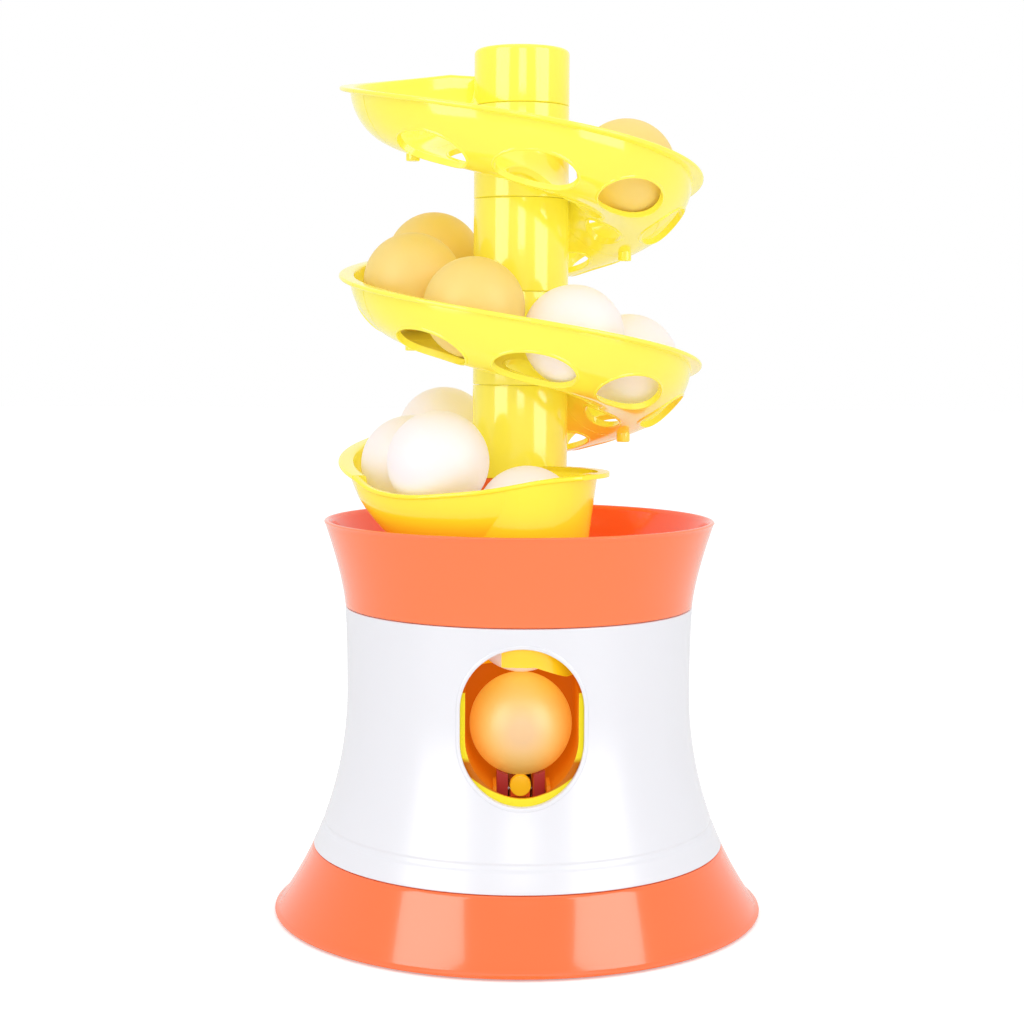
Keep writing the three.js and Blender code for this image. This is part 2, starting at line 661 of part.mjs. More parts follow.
// Battery tray with its cells and contact strips.
const trayHalfX = cellCount * (2 * cellRadius + cellGap) / 2 + clearance;
const trayFloor = floorTop + clearance;
const cellBase = trayFloor + trayWall + clearance;
const tray = box(-trayHalfX - trayWall, trayHalfX + trayWall, trayFront, trayBack,
  trayFloor, trayFloor + trayHeight)
  .subtract(box(-trayHalfX, trayHalfX, trayFront + trayWall, trayBack - trayWall,
    trayFloor + trayWall, trayFloor + trayHeight + overrun));
piece('battery_tray', tray, greyPlastic);
const cellFront = trayFront + trayWall + clearance / 2 + contactThickness + clearance / 2;
for (let i = 0; i < cellCount; i += 1) {
  const x = (i - (cellCount - 1) / 2) * (2 * cellRadius + cellGap);
  const cell = solid(new THREE.CylinderGeometry(cellRadius, cellRadius, cellLength, rodSides)
    .translate(x, cellFront + cellLength / 2, cellBase + cellRadius));
  piece(`battery_cell_${i + 1}`, cell, cellSleeve);
}
const contactHalf = trayHalfX - clearance;
for (const [name, y] of [['front', trayFront + trayWall + clearance / 2],
  ['back', cellFront + cellLength + clearance / 2]]) {
  piece(`battery_contact_${name}`, box(-contactHalf, contactHalf, y, y + contactThickness,
    cellBase, trayFloor + trayHeight), steel);
}

// Battery door: a lid in the base plate.
const door = new THREE.Group();
root.add(door);
piece('battery_door', box(-doorHalfX, doorHalfX, trayFront + doorMargin, trayBack - doorMargin,
  plateFloor, plateFloor + doorThickness), greyPlastic, door);

// Gearbox: two plates on feet, with the motor held in the left one.
const centreDistance = gearModule * (gearTeeth + pinionTeeth) / 2;
const fromAngle = (centre, angle, reach) => new THREE.Vector2(
  centre.x + reach * Math.cos(radians(angle)), centre.y + reach * Math.sin(radians(angle)));
const idlerCentre = fromAngle(camCentre, idlerAngle, centreDistance);
const motorCentre = fromAngle(idlerCentre, motorAngle, centreDistance);
const plateBottom = trayFloor + trayHeight + clearance;
const bores = (body, centres, radius) => centres.reduce(
  (rest, centre) => rest.subtract(bar(centre, radius, -baseRadius, baseRadius)), body);
const axles = [strikerPivot, camCentre, idlerCentre];
function gearPlate(x0) {
  const x1 = x0 + plateThickness;
  return bores(box(x0, x1, plateFront, plateBack, plateBottom, plateTop)
    .add(box(x0, x1, trayBack + clearance, plateBack, guideFloor, plateBottom + overrun)),
  axles, axleRadius + clearance);
}
piece('gear_plate_left', gearPlate(plateLeft)
  .subtract(bar(motorCentre, motorRadius + clearance, plateLeft - overrun, 0, hubSides)), greyPlastic);
piece('gear_plate_right', gearPlate(plateRight)
  .subtract(bar(motorCentre, axleRadius + clearance, plateRight - overrun, baseRadius)), greyPlastic);
const plateOutside = plateRight + plateThickness;
piece('striker_axle', bar(strikerPivot, axleRadius, plateLeft, plateOutside), steel);
piece('cam_axle', bar(camCentre, axleRadius, plateLeft, plateOutside), steel);
piece('idler_axle', bar(idlerCentre, axleRadius, plateLeft, plateOutside), steel);
const motorEnd = camSide + gearThickness - 2 * gearGap;
piece('motor_can', bar(motorCentre, motorRadius, motorEnd - motorLength, motorEnd, hubSides)
  .subtract(bar(motorCentre, axleRadius, motorEnd - motorLength / 2, motorEnd + overrun)), steel);

// Torsion spring on the striker's axle, between the lever and the right plate.
const springStart = strikerHalfWidth + springWire;
const springLength = plateRight - strikerHalfWidth - 2 * springWire;
class Coil extends THREE.Curve {
  getPoint(t, target = new THREE.Vector3()) {
    const angle = 2 * Math.PI * springTurns * t;
    return target.set(springStart + springLength * t,
      strikerPivot.x + springRadius * Math.cos(angle),
      strikerPivot.y + springRadius * Math.sin(angle));
  }
}
const wire = polygon(steps(5).slice(1).map((s) => [
  springWire / 2 * Math.cos(2 * Math.PI * s), springWire / 2 * Math.sin(2 * Math.PI * s)]));
piece('torsion_spring', solid(new THREE.ExtrudeGeometry(wire, {
  steps: 8 * springTurns, extrudePath: new Coil(), bevelEnabled: false })), steel);

// Striker lever in its own group at the pivot: arm, boss at the tip and tail over the cam.
const striker = new THREE.Group();
striker.position.set(0, strikerPivot.x, strikerPivot.y);
root.add(striker);
const tip = bossCentre.clone().sub(strikerPivot);
const home = new THREE.Vector2(0, 0);
const lever = across(polygon([
  [tip.x + bossThickness, tip.y - strikerArm], [0, -strikerHub],
  [strikerHub, -strikerThickness / 2], [strikerTail, -strikerThickness / 2],
  [strikerTail, strikerThickness / 2], [strikerHub, strikerThickness / 2], [0, strikerHub],
  [tip.x + bossThickness, tip.y + bossRadius / 2]]), -strikerHalfWidth, strikerHalfWidth)
  .add(bar(home, strikerHub, -strikerHalfWidth, strikerHalfWidth))
  .subtract(bar(home, axleRadius + clearance, -strikerHalfWidth - overrun, strikerHalfWidth + overrun));
piece('striker_lever', lever, orangeGloss, striker);
const boss = solid(new THREE.CylinderGeometry(bossRadius, bossRadius, bossThickness - clearance, rodSides)
  .translate(0, tip.x + (bossThickness - clearance) / 2, tip.y));
piece('striker_boss', boss, yellowGloss, striker);

// Gears: straight-flanked teeth thinned for running clearance.
function gearOutline(teeth) {
  const pitchRadius = gearModule * teeth / 2;
  const outer = pitchRadius + gearModule * 0.8;
  const inner = pitchRadius - gearModule * 1.25;
  const toothShares = [[-0.29, 0], [-0.12, 1], [0.12, 1], [0.29, 0]];
  const points = [];
  for (let i = 0; i < teeth; i += 1) {
    for (const [share, high] of toothShares) {
      const angle = 2 * Math.PI * (i + share) / teeth;
      const radius = high ? outer : inner;
      points.push([radius * Math.cos(angle), radius * Math.sin(angle)]);
    }
  }
  return polygon(points);
}
const gearPlane2 = camSide + gearThickness + gearGap;
const bore = (body) => body.subtract(
  bar(home, axleRadius + clearance, camSide - pitch, camSide + pitch));
function rotor(centre) {
  const group = new THREE.Group();
  group.position.set(0, centre.x, centre.y);
  root.add(group);
  return group;
}
const turnedBy = (body, degrees) => body.rotate([degrees, 0, 0]);
const cam = rotor(camCentre);
const camGear = bore(turnedBy(across(gearOutline(gearTeeth), camSide, camSide + gearThickness), idlerAngle)
  .add(bar(fromAngle(home, crankAngle, crankRadius), crankPin, -strikerHalfWidth, camSide + overrun)));
piece('cam_gear', camGear, whiteGear, cam);
const idler = rotor(idlerCentre);
const toothHalf = 180 / pinionTeeth;
const idlerGear = bore(
  turnedBy(across(gearOutline(pinionTeeth), camSide, gearPlane2 + overrun), idlerAngle + 180 + toothHalf)
    .add(turnedBy(across(gearOutline(gearTeeth), gearPlane2, gearPlane2 + gearThickness), motorAngle)));
piece('idler_gear', idlerGear, whiteGear, idler);
const motor = rotor(motorCentre);
const pinion = turnedBy(across(gearOutline(pinionTeeth), gearPlane2, gearPlane2 + gearThickness),
  motorAngle + 180 + toothHalf)
  .add(bar(home, axleRadius - clearance, motorEnd - motorLength / 2 + overrun, gearPlane2 + overrun));
piece('motor_pinion', pinion, steel, motor);

// Switch at the back: body on a bracket and a sliding knob through the shell.
const switchFront = Math.sqrt((bodyRadius(switchHeight + switchHalfHeight) - bodyWall) ** 2
  - switchHalfWidth ** 2) - 2 * clearance;
const switchBody = box(-switchHalfWidth, switchHalfWidth, switchFront - switchDepth, switchFront,
  switchHeight - switchHalfHeight, switchHeight + switchHalfHeight)
  .add(box(-switchHalfWidth / 2, switchHalfWidth / 2, switchFront - switchDepth,
    switchFront - switchDepth / 2, guideFloor, switchHeight))
  .subtract(box(-switchSlot, switchSlot, switchFront - switchSkin * 2, switchFront + overrun,
    switchHeight - switchLift, switchHeight + switchLift));
piece('switch_body', switchBody, greyPlastic);
const switchGroup = new THREE.Group();
switchGroup.position.x = -knobTravel; // rests at the off end
root.add(switchGroup);
piece('switch_knob', box(-knobHalfWidth, knobHalfWidth, switchFront - switchSkin * 2 + clearance,
  bodyRadius(switchHeight) + knobProud, switchHeight - knobHalfHeight,
  switchHeight + knobHalfHeight), darkRubber, switchGroup);

// Balls: four orange and four white on the channel, one in the chute, two in the tube and the
// one that lies ready behind the window.
const orangeAzimuths = [337, 503, 554, 605];
const whiteAzimuths = [656, 707.5, 854.5, 906];
orangeAzimuths.forEach((at, i) => onChannel(`ball_orange_${i + 1}`, at, orangeBall));
whiteAzimuths.forEach((at, i) => onChannel(`ball_white_${i + 1}`, at, whiteBall));
ball('ball_white_5', -chuteBallSide, -chuteBallFront, chuteBallHeight, whiteBall, root);
ball('ball_white_6', 0, -tubeReach, launchBallHeight + stackPitch, whiteBall, root);
ball('ball_white_7', shaftBallSide, -tubeReach, launchBallHeight + 2 * stackPitch, whiteBall, root);
const launch = new THREE.Group();
root.add(launch);
ball('launch_ball', 0, -tubeReach, launchBallHeight, orangeBall, launch);

export default root;
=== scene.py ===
"""Table tennis robot: waisted body with a launch window, flared bowl and a spiral ball channel."""
import bmesh
import bpy
import json
import math
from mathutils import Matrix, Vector


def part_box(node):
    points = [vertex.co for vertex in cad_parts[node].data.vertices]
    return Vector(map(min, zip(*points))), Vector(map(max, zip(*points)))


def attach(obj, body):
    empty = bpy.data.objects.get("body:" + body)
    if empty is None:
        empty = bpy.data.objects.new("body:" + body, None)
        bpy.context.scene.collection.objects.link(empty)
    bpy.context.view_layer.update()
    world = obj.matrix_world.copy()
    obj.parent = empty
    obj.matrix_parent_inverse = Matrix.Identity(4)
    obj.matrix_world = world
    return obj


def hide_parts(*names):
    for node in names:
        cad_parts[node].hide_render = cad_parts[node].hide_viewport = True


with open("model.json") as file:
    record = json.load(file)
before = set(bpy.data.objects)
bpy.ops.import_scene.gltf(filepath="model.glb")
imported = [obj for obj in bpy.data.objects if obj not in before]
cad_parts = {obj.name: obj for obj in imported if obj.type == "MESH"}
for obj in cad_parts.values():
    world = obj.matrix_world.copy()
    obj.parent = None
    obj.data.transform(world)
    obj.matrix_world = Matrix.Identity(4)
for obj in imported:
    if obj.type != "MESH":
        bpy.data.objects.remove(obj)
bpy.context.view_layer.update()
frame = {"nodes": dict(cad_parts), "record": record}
MM = 0.001

# Sizes in millimetres and angles in degrees, as in the frame.
CLEAR = 0.3
BALL_R = 20.0
ON_AXIS = 0.01  # radius that stands for the axis
EDGE_ROUND, HUB_ROUND = 0.5, 0.35

BASE_R = 99.8
FOOT_H = 0.8
SHELL_BOTTOM, SHELL_TOP = 27.0, 125.0
WAIST_H, WAIST_R = 90.0, 70.5
SHELL_TOP_R = 71.4
BODY_WALL = 2.2
GROOVE_H, GROOVE_W, GROOVE_D, GROOVE_EASE = 36.3, 2.0, 0.4, 0.6
SPIGOT_H = 6.0
RIM_H, RIM_R, FLARE_POWER = 160.3, 80.3, 1.38
BOWL_FLOOR, BOWL_FILLET = 132.0, 2.0
LIP_H = 1.2

WINDOW_W, WINDOW_H, WINDOW_Z = 47.4, 59.6, 87.4
EDGE_W, EDGE_PROUD = 1.6, 0.4
SWITCH_Z, SWITCH_HALF_W, SWITCH_HALF_H = 50.0, 7.3, 3.3

HUB_R, HUB_WALL, HUB_L, HUB_BOTTOM = 19.5, 2.2, 37.9, 177.8
HUB_SPIGOT = 8.0
CAP_H, CAP_ROUND = 23.1, 2.0
CHANNEL_R, CHANNEL_D, CHANNEL_WALL, CHANNEL_DROP = 68.2, 22.5, 2.0, 2.6
CHANNEL_MID = 47.0
TRACK_LIP_R, TRACK_LIP_T = 74.5, 1.8
PITCH, SEAM_AZ, START_SPAN, CAP_GAP, TURNS = 76.0, 206.0, 102.0, 1.5, 4
HOLES, HOLE_STEP, HOLE_LEAD = 4, 41.3, 26.8
# Openings in the channel: radius of the centre, depth below the rim, tilt, length and width.
OUTER_HOLE = (58.5, 19.2, 35.0, 32.7, 21.0)
INNER_HOLE = (34.0, 20.8, -24.0, 20.0, 15.0)
HOLE_CUT = 5.25  # how far an opening's cutter reaches to each side of its centre
BEAD_W, BEAD_PROUD = 0.9, 0.45
PEG_R, PEG_L, PEG_LEAD = 2.8, 3.2, 5.2

CHUTE_SPAN, CHUTE_OPEN_SPAN = 90.0, 64.0
CHUTE_R, CHUTE_MID, CHUTE_DEEPER = 71.0, 45.25, 0.35
CHUTE_RIM = [(0, 0), (0.1, 0.046), (0.21, 0.068), (0.32, 0.071), (0.46, 0.053),
             (0.59, 0.03), (0.77, -0.018), (0.93, -0.04), (1, -0.04)]
TUBE_Y, TUBE_CLEAR, TUBE_WALL = 45.0, 0.8, 1.8
TUBE_BOTTOM, TUBE_LIP, TUBE_MOUTH, TUBE_NOTCH, TUBE_SLOPE = 105.0, 109.6, 118.0, 8.0, 5.0
MOUTH_R, MOUTH_LIP = 29.5, 4.5

BALL_Z = 84.4
CRADLE_HALF, CRADLE_WALL, CRADLE_BOTTOM = 21.7, 2.2, 60.4
CRADLE_STEP, CRADLE_BACK, CRADLE_TOP = 99.5, 23.6, 116.0
CRADLE_SHOWN_WALL = 3.0  # more than the wall, so that no gap shows in the window
SLOT_TOP, SLOT_RIM = 64.0, 2.0
RIB_W, RIB_TOP = 1.3, 64.8
CRESCENT_BEND = 0.0186  # the lit foot of the cradle's front edge rises by this times the square of x

PLATE_FLOOR, PLATE_T = 3.0, 2.6
LEG_SIDE, LEG_W, LEG_FRONT, LEG_BACK = 16.0, 5.0, 52.0, 34.0
GUIDE_HALF, GUIDE_FRONT, GUIDE_BACK, GUIDE_SLOT = 9.3, 54.0, 34.0, 5.0
PIVOT_Z, TAIL = 51.0, 19.0

FLARE_R = ((BASE_R - WAIST_R) ** 2 + WAIST_H ** 2) / (2 * (BASE_R - WAIST_R))
TUBE_IN = BALL_R + TUBE_CLEAR
TUBE_OUT = TUBE_IN + TUBE_WALL
CAP_BOTTOM = HUB_BOTTOM + TURNS * HUB_L
CAP_TOP = CAP_BOTTOM + CAP_H


# Meshes
CREASE = 32  # edges that turn more than this stay sharp


def new_object(name, verts, faces, sharp=CREASE):
    """A smooth-shaded object from points in millimetres, creased where faces turn sharply."""
    mesh = bpy.data.meshes.new(name)
    mesh.from_pydata([Vector(v) * MM for v in verts], [], faces)
    return finish_mesh(name, mesh, sharp)


def finish_mesh(name, mesh, sharp=CREASE):
    """Closes and smooths a mesh and puts it on an object in the scene."""
    tidy = bmesh.new()
    tidy.from_mesh(mesh)
    bmesh.ops.remove_doubles(tidy, verts=tidy.verts, dist=1e-6)
    bmesh.ops.recalc_face_normals(tidy, faces=tidy.faces)
    tidy.to_mesh(mesh)
    tidy.free()
    mesh.polygons.foreach_set("use_smooth", [True] * len(mesh.polygons))
    mesh.set_sharp_from_angle(angle=math.radians(sharp))
    obj = bpy.data.objects.new(name, mesh)
    bpy.context.scene.collection.objects.link(obj)
    return obj


def turned(name, outline, sides=160, centre=(0, 0)):
    """A closed outline of (radius, height) turned about the vertical axis through centre."""
    rings = len(outline)
    verts, faces = [], []
    for i in range(sides):
        a = 2 * math.pi * i / sides
        verts += [(centre[0] + r * math.cos(a), centre[1] + r * math.sin(a), z) for r, z in outline]
    for i in range(sides):
        j = (i + 1) % sides
        for k in range(rings):
            m = (k + 1) % rings
            faces.append((i * rings + k, j * rings + k, j * rings + m, i * rings + m))
    return new_object(name, verts, faces)


def swept(name, sections, closed=False, sharp=CREASE):
    """A solid through a row of outlines with the same number of points."""
    count = len(sections[0])
    verts = [v for section in sections for v in section]
    faces = []
    last = len(sections) if closed else len(sections) - 1
    for i in range(last):
        j = (i + 1) % len(sections)
        for k in range(count):
            m = (k + 1) % count
            faces.append((i * count + k, j * count + k, j * count + m, i * count + m))
    if not closed:
        faces.append(tuple(reversed(range(count))))
        faces.append(tuple(range((len(sections) - 1) * count, len(sections) * count)))
    return new_object(name, verts, faces, sharp)


def block(name, x0, x1, y0, y1, z0, z1):
    """A box between two corners."""
    corners = [[(x, y, z) for x, y in ((x0, y0), (x1, y0), (x1, y1), (x0, y1))] for z in (z0, z1)]
    return swept(name, corners)


def circle(x, y, radius, sides):
    """Points round a circle."""
    return [(x + radius * math.cos(2 * math.pi * i / sides), y + radius * math.sin(2 * math.pi * i / sides))
            for i in range(sides)]


def post(name, x, y, radius, z0, z1):
    """An upright cylinder."""
    ring = circle(x, y, radius, 96)
    return swept(name, [[(px, py, z) for px, py in ring] for z in (z0, z1)])


def through_front(name, outline, y0, y1):
    """An outline in (x, z) pushed from y0 to y1."""
    return swept(name, [[(x, y, z) for x, z in outline] for y in (y0, y1)])


def combine(base, *others, how="DIFFERENCE"):
    """Cuts the others out of base, or keeps what they share with it, and removes them."""
    for other in others:
        modifier = base.modifiers.new("cut", "BOOLEAN")
        modifier.operation = how
        modifier.solver = "EXACT"
        modifier.object = other
        graph = bpy.context.evaluated_depsgraph_get()
        result = bpy.data.meshes.new_from_object(base.evaluated_get(graph))
        base.modifiers.clear()
        old = base.data
        base.data = result
        bpy.data.meshes.remove(old)
        bpy.data.objects.remove(other)
    name = base.name
    mesh = base.data
    bpy.data.objects.remove(base)
    return finish_mesh(name, mesh)


def join(base, *others):
    """Puts the others' meshes into base's."""
    merged = bmesh.new()
    for obj in (base, *others):
        merged.from_mesh(obj.data)
    merged.to_mesh(base.data)
    merged.free()
    for obj in others:
        bpy.data.objects.remove(obj)
    base.data.polygons.foreach_set("use_smooth", [True] * len(base.data.polygons))
    base.data.set_sharp_from_angle(angle=math.radians(CREASE))
    return base


def dress(obj, material, body, slot_name, *nodes):
    """Gives a piece its material and its body, and hides the nodes that it stands for; slot_name is not used.
    """
    obj.data.materials.clear()
    obj.data.materials.append(material)
    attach(obj, body)
    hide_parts(*nodes)


def lerp(a, b, s):
    return a + (b - a) * s


def run(a, b, count):
    """Evenly spaced values from a to b, both ends included."""
    return [lerp(a, b, i / count) for i in range(count + 1)]


def arc(cx, cy, radius, a0, a1, count):
    """Points of an arc from angle a0 to a1."""
    return [(cx + radius * math.cos(math.radians(a)), cy + radius * math.sin(math.radians(a)))
            for a in run(a0, a1, count)]


# Materials
def linear(red, green, blue):
    """A colour written as 0 to 255 display values."""
    def one(v):
        v /= 255
        return v / 12.92 if v <= 0.04045 else ((v + 0.055) / 1.055) ** 2.4
    return (one(red), one(green), one(blue), 1.0)


def plastic(name, colour, roughness, coat=0.0, scatter=0.0, grain=0.0, glow=0.0):
    """Moulded plastic: an even colour with a faint unevenness in tone and surface."""
    material = bpy.data.materials.new(name)
    material.use_nodes = True
    nodes, links = material.node_tree.nodes, material.node_tree.links
    shader = nodes["Principled BSDF"]
    shader.inputs["Roughness"].default_value = roughness
    shader.inputs["Coat Weight"].default_value = coat
    shader.inputs["Coat Roughness"].default_value = 0.05
    shader.inputs["Subsurface Weight"].default_value = scatter
    shader.inputs["Subsurface Radius"].default_value = (1.0, 0.8, 0.6)
    shader.inputs["Subsurface Scale"].default_value = 0.002
    # Painted light: the glow makes the plastic shine in its own colour, which lifts its shaded sides.
    if glow:
        shader.inputs["Emission Color"].default_value = linear(*colour)
        shader.inputs["Emission Strength"].default_value = glow
    place = nodes.new("ShaderNodeTexCoord")
    cloud = nodes.new("ShaderNodeTexNoise")
    cloud.inputs["Scale"].default_value = 14.0
    links.new(place.outputs["Object"], cloud.inputs["Vector"])
    tone = nodes.new("ShaderNodeMix")
    tone.data_type = "RGBA"
    tone.inputs["A"].default_value = linear(*colour)
    tone.inputs["B"].default_value = linear(*(c * 0.988 for c in colour))
    links.new(cloud.outputs["Fac"], tone.inputs["Factor"])
    links.new(tone.outputs["Result"], shader.inputs["Base Color"])
    if grain:
        fine = nodes.new("ShaderNodeTexNoise")
        fine.inputs["Scale"].default_value = 900.0
        links.new(place.outputs["Object"], fine.inputs["Vector"])
        bump = nodes.new("ShaderNodeBump")
        bump.inputs["Strength"].default_value = grain
        bump.inputs["Distance"].default_value = 0.0002
        links.new(fine.outputs["Fac"], bump.inputs["Height"])
        links.new(bump.outputs["Normal"], shader.inputs["Normal"])
    return material


def metal(name, colour, roughness):
    """Bare metal, with the same faint unevenness."""
    material = plastic(name, colour, roughness)
    material.node_tree.nodes["Principled BSDF"].inputs["Metallic"].default_value = 1.0
    return material


def maths(tree, operation, *values, clamp=False):
    """One maths node; each value is a number or another node's output."""
    node = tree.nodes.new("ShaderNodeMath")
    node.operation, node.use_clamp = operation, clamp
    for i, value in enumerate(values):
        if hasattr(value, "links"):
            tree.links.new(value, node.inputs[i])
        else:
            node.inputs[i].default_value = value
    return node.outputs["Value"]


def place_in(tree):
    """The object's own x, y and z."""
    place = tree.nodes.new("ShaderNodeTexCoord")
    split = tree.nodes.new("ShaderNodeSeparateXYZ")
    tree.links.new(place.outputs["Object"], split.inputs["Vector"])
    return [split.outputs[axis] for axis in "XYZ"]


def ramp(tree, value, start, end):
    """0 at the start and 1 at the end, both in millimetres."""
    past = maths(tree, "SUBTRACT", value, start * MM)
    return maths(tree, "MULTIPLY", past, 1 / ((end - start) * MM), clamp=True)


def length(tree, a, b):
    """The length of the diagonal over two sides."""
    return maths(tree, "SQRT", maths(tree, "ADD", maths(tree, "POWER", a, 2.0), maths(tree, "POWER", b, 2.0)))


def paint_light_and_shade(material, factor, deep, glow, faint=0.0, lit=None):
    """Paints light and shade: mixes in a deeper colour by a factor, with a painted glow that goes from faint
    to the full by lit.
    """
    tree = material.node_tree
    shader = tree.nodes["Principled BSDF"]
    shade = tree.nodes.new("ShaderNodeMix")
    shade.data_type = "RGBA"
    tree.links.new(factor, shade.inputs["Factor"])
    tree.links.new(shader.inputs["Base Color"].links[0].from_socket, shade.inputs["A"])
    shade.inputs["B"].default_value = linear(*deep)
    tree.links.new(shade.outputs["Result"], shader.inputs["Base Color"])
    tree.links.new(shade.outputs["Result"], shader.inputs["Emission Color"])
    strength = maths(tree, "MULTIPLY_ADD", lit or factor, glow - faint, faint)
    tree.links.new(strength, shader.inputs["Emission Strength"])


# The glow on these materials is painted light. On the tower, chute, base ring, bowl and white balls it lifts
# the shaded sides; on the boss and the red cheeks it lights them inside the housing.
YELLOW = plastic("yellow gloss", (254, 243, 78), 0.14, coat=0.35, glow=0.1)
CHUTE_YELLOW = plastic("yellow gloss, chute", (254, 234, 44), 0.14, coat=0.35, glow=0.12)
ORANGE = plastic("orange gloss", (254, 114, 54), 0.14, coat=0.35, glow=0.08)
WHITE = plastic("white gloss", (240, 241, 247), 0.25)
ORANGE_BALL = plastic("orange ball", (254, 220, 128), 0.5, scatter=0.3, grain=0.15)
# The ready ball's pale base colour is a painted highlight, kept in its middle; towards the rim it turns
# orange with a painted glow.
READY_BALL = plastic("orange ball, ready", (250, 206, 152), 0.42, grain=0.15)
WHITE_BALL = plastic("white ball", (248, 238, 238), 0.5, scatter=0.3, grain=0.15, glow=0.1)
# The bowl's own copy of the orange, a little lighter than the base ring's, is painted light on its outside;
# its inside is painted deeper as shade.
BOWL_ORANGE = plastic("orange gloss, bowl", (255, 124, 68), 0.14, coat=0.35, glow=0.08)
CRADLE_YELLOW = plastic("yellow gloss, cradle", (254, 236, 46), 0.4)
DISC_YELLOW = plastic("yellow gloss, boss", (254, 204, 34), 0.3, glow=0.45)
RED = plastic("red satin", (178, 44, 38), 0.4, glow=0.15)
GEAR = plastic("gear plastic", (232, 228, 218), 0.4)
GREY = plastic("grey plastic", (88, 90, 94), 0.45, grain=0.3)
RUBBER = plastic("rubber", (42, 42, 44), 0.8, grain=0.5)
STEEL = metal("steel", (198, 200, 204), 0.3)
SLEEVE = plastic("cell sleeve", (52, 104, 140), 0.3)
SLOTS = {"yellow_plastic": YELLOW, "orange_plastic": ORANGE, "white_plastic": WHITE, "red_plastic": RED,
         "orange_ball": ORANGE_BALL, "white_ball": WHITE_BALL, "gear_plastic": GEAR, "grey_plastic": GREY,
         "rubber": RUBBER, "steel": STEEL, "cell_sleeve": SLEEVE}


def paint_chute_shade_and_glow():
    """Painted shade and painted glow: lower down the chute and its tube, from z 152 to 118, the yellow is
    painted deeper and glows more.
    """
    tree = CHUTE_YELLOW.node_tree
    _, _, up = place_in(tree)
    paint_light_and_shade(CHUTE_YELLOW, ramp(tree, up, 152, 118), (254, 204, 24), glow=0.22, faint=0.12)


def paint_ready_ball_highlight():
    """Painted highlight: the ball in the window is painted pale in the middle, and warm orange with a painted
    glow towards the rim.
    """
    tree = READY_BALL.node_tree
    across, _, up = place_in(tree)
    from_axis = length(tree, across, maths(tree, "SUBTRACT", up, BALL_Z * MM))
    paint_light_and_shade(READY_BALL, ramp(tree, from_axis, 4, 19), (254, 212, 86), glow=0.24)


def paint_bowl_shade():
    """Painted shade: the bowl's inside is painted a deeper orange than its outside."""
    tree = BOWL_ORANGE.node_tree
    across, ahead, up = place_in(tree)
    rise = maths(tree, "POWER", ramp(tree, up, SHELL_TOP, RIM_H), FLARE_POWER)
    flare = maths(tree, "MULTIPLY", rise, (RIM_R - SHELL_TOP_R) * MM)
    wall = maths(tree, "ADD", flare, (SHELL_TOP_R - BODY_WALL / 2) * MM)
    behind = maths(tree, "SUBTRACT", wall, length(tree, across, ahead))
    paint_light_and_shade(BOWL_ORANGE, ramp(tree, behind, -0.3, 0.3), (254, 104, 46), glow=0.08, faint=0.08)


def paint_cradle_shade():
    """Painted shade and glow: the front edge stays bright yellow at its lit foot and at the sides; between
    them the front edge is painted deep orange, and the walls behind it are painted deep orange with a painted
    glow.
    """
    tree = CRADLE_YELLOW.node_tree
    across, ahead, up = place_in(tree)
    square = maths(tree, "POWER", across, 2.0)
    below = maths(tree, "POWER", maths(tree, "SUBTRACT", WAIST_H * MM, up), 2.0)
    flare = maths(tree, "MULTIPLY", below, 0.5 / (FLARE_R * MM))
    wall = maths(tree, "ADD", flare, (WAIST_R - BODY_WALL - CLEAR) * MM)
    inward = ramp(tree, maths(tree, "SUBTRACT", wall, length(tree, across, ahead)), 0.1, 0.6)
    crescent = maths(tree, "SUBTRACT", up, maths(tree, "MULTIPLY", square, CRESCENT_BEND / MM))
    corner = maths(tree, "MULTIPLY", ramp(tree, crescent, 60.5, 60.9), ramp(tree, up, 75, 73))
    paint_light_and_shade(CRADLE_YELLOW, maths(tree, "MAXIMUM", inward, corner), (204, 110, 6), glow=0.34, lit=inward)
    tree.nodes["Principled BSDF"].inputs["Specular IOR Level"].default_value = 0.15


paint_chute_shade_and_glow()
paint_ready_ball_highlight()
paint_bowl_shade()
paint_cradle_shade()

for part in frame["record"]["subparts"]:
    node = frame["nodes"][part["node"]]
    node.data.materials.clear()
    node.data.materials.append(SLOTS[part["material_slot"]])

# Camera: level eye height at the photograph's distance, tipped a little and shifted for the rest.
EYE, DISTANCE, TIP, ROLL, TURN = 232.44, 794.7, 2.0, -0.35, -1.3
FOCAL_PX, FRAME_PX, SHIFT_Y, AXIS_PX = 1929.1, 1024.0, -0.0985, 520.4
lens = bpy.data.cameras.new("camera")
lens.sensor_width = 36.0
lens.lens = FOCAL_PX / FRAME_PX * lens.sensor_width
lens.shift_x = (FRAME_PX / 2 - AXIS_PX) / FRAME_PX
lens.shift_y = SHIFT_Y
camera = bpy.data.objects.new("camera", lens)
turn_angle = math.radians(TURN)
camera.location = Vector((DISTANCE * math.sin(turn_angle), -DISTANCE * math.cos(turn_angle), EYE)) * MM
camera.rotation_euler = (math.radians(90 - TIP), math.radians(ROLL), turn_angle)
bpy.context.scene.collection.objects.link(camera)
bpy.context.scene.camera = camera

# Light: an even white surround, two tall soft boxes that show in reflections only, a small one
# in front and a large one above.
scene = bpy.context.scene
scene.view_settings.view_transform = "Standard"
world = bpy.data.worlds.new("studio")
scene.world = world
world.use_nodes = True
tree = world.node_tree
tree.nodes.clear()
path = tree.nodes.new("ShaderNodeLightPath")
choose = tree.nodes.new("ShaderNodeMixShader")
output = tree.nodes.new("ShaderNodeOutputWorld")
tree.links.new(path.outputs["Is Camera Ray"], choose.inputs["Fac"])
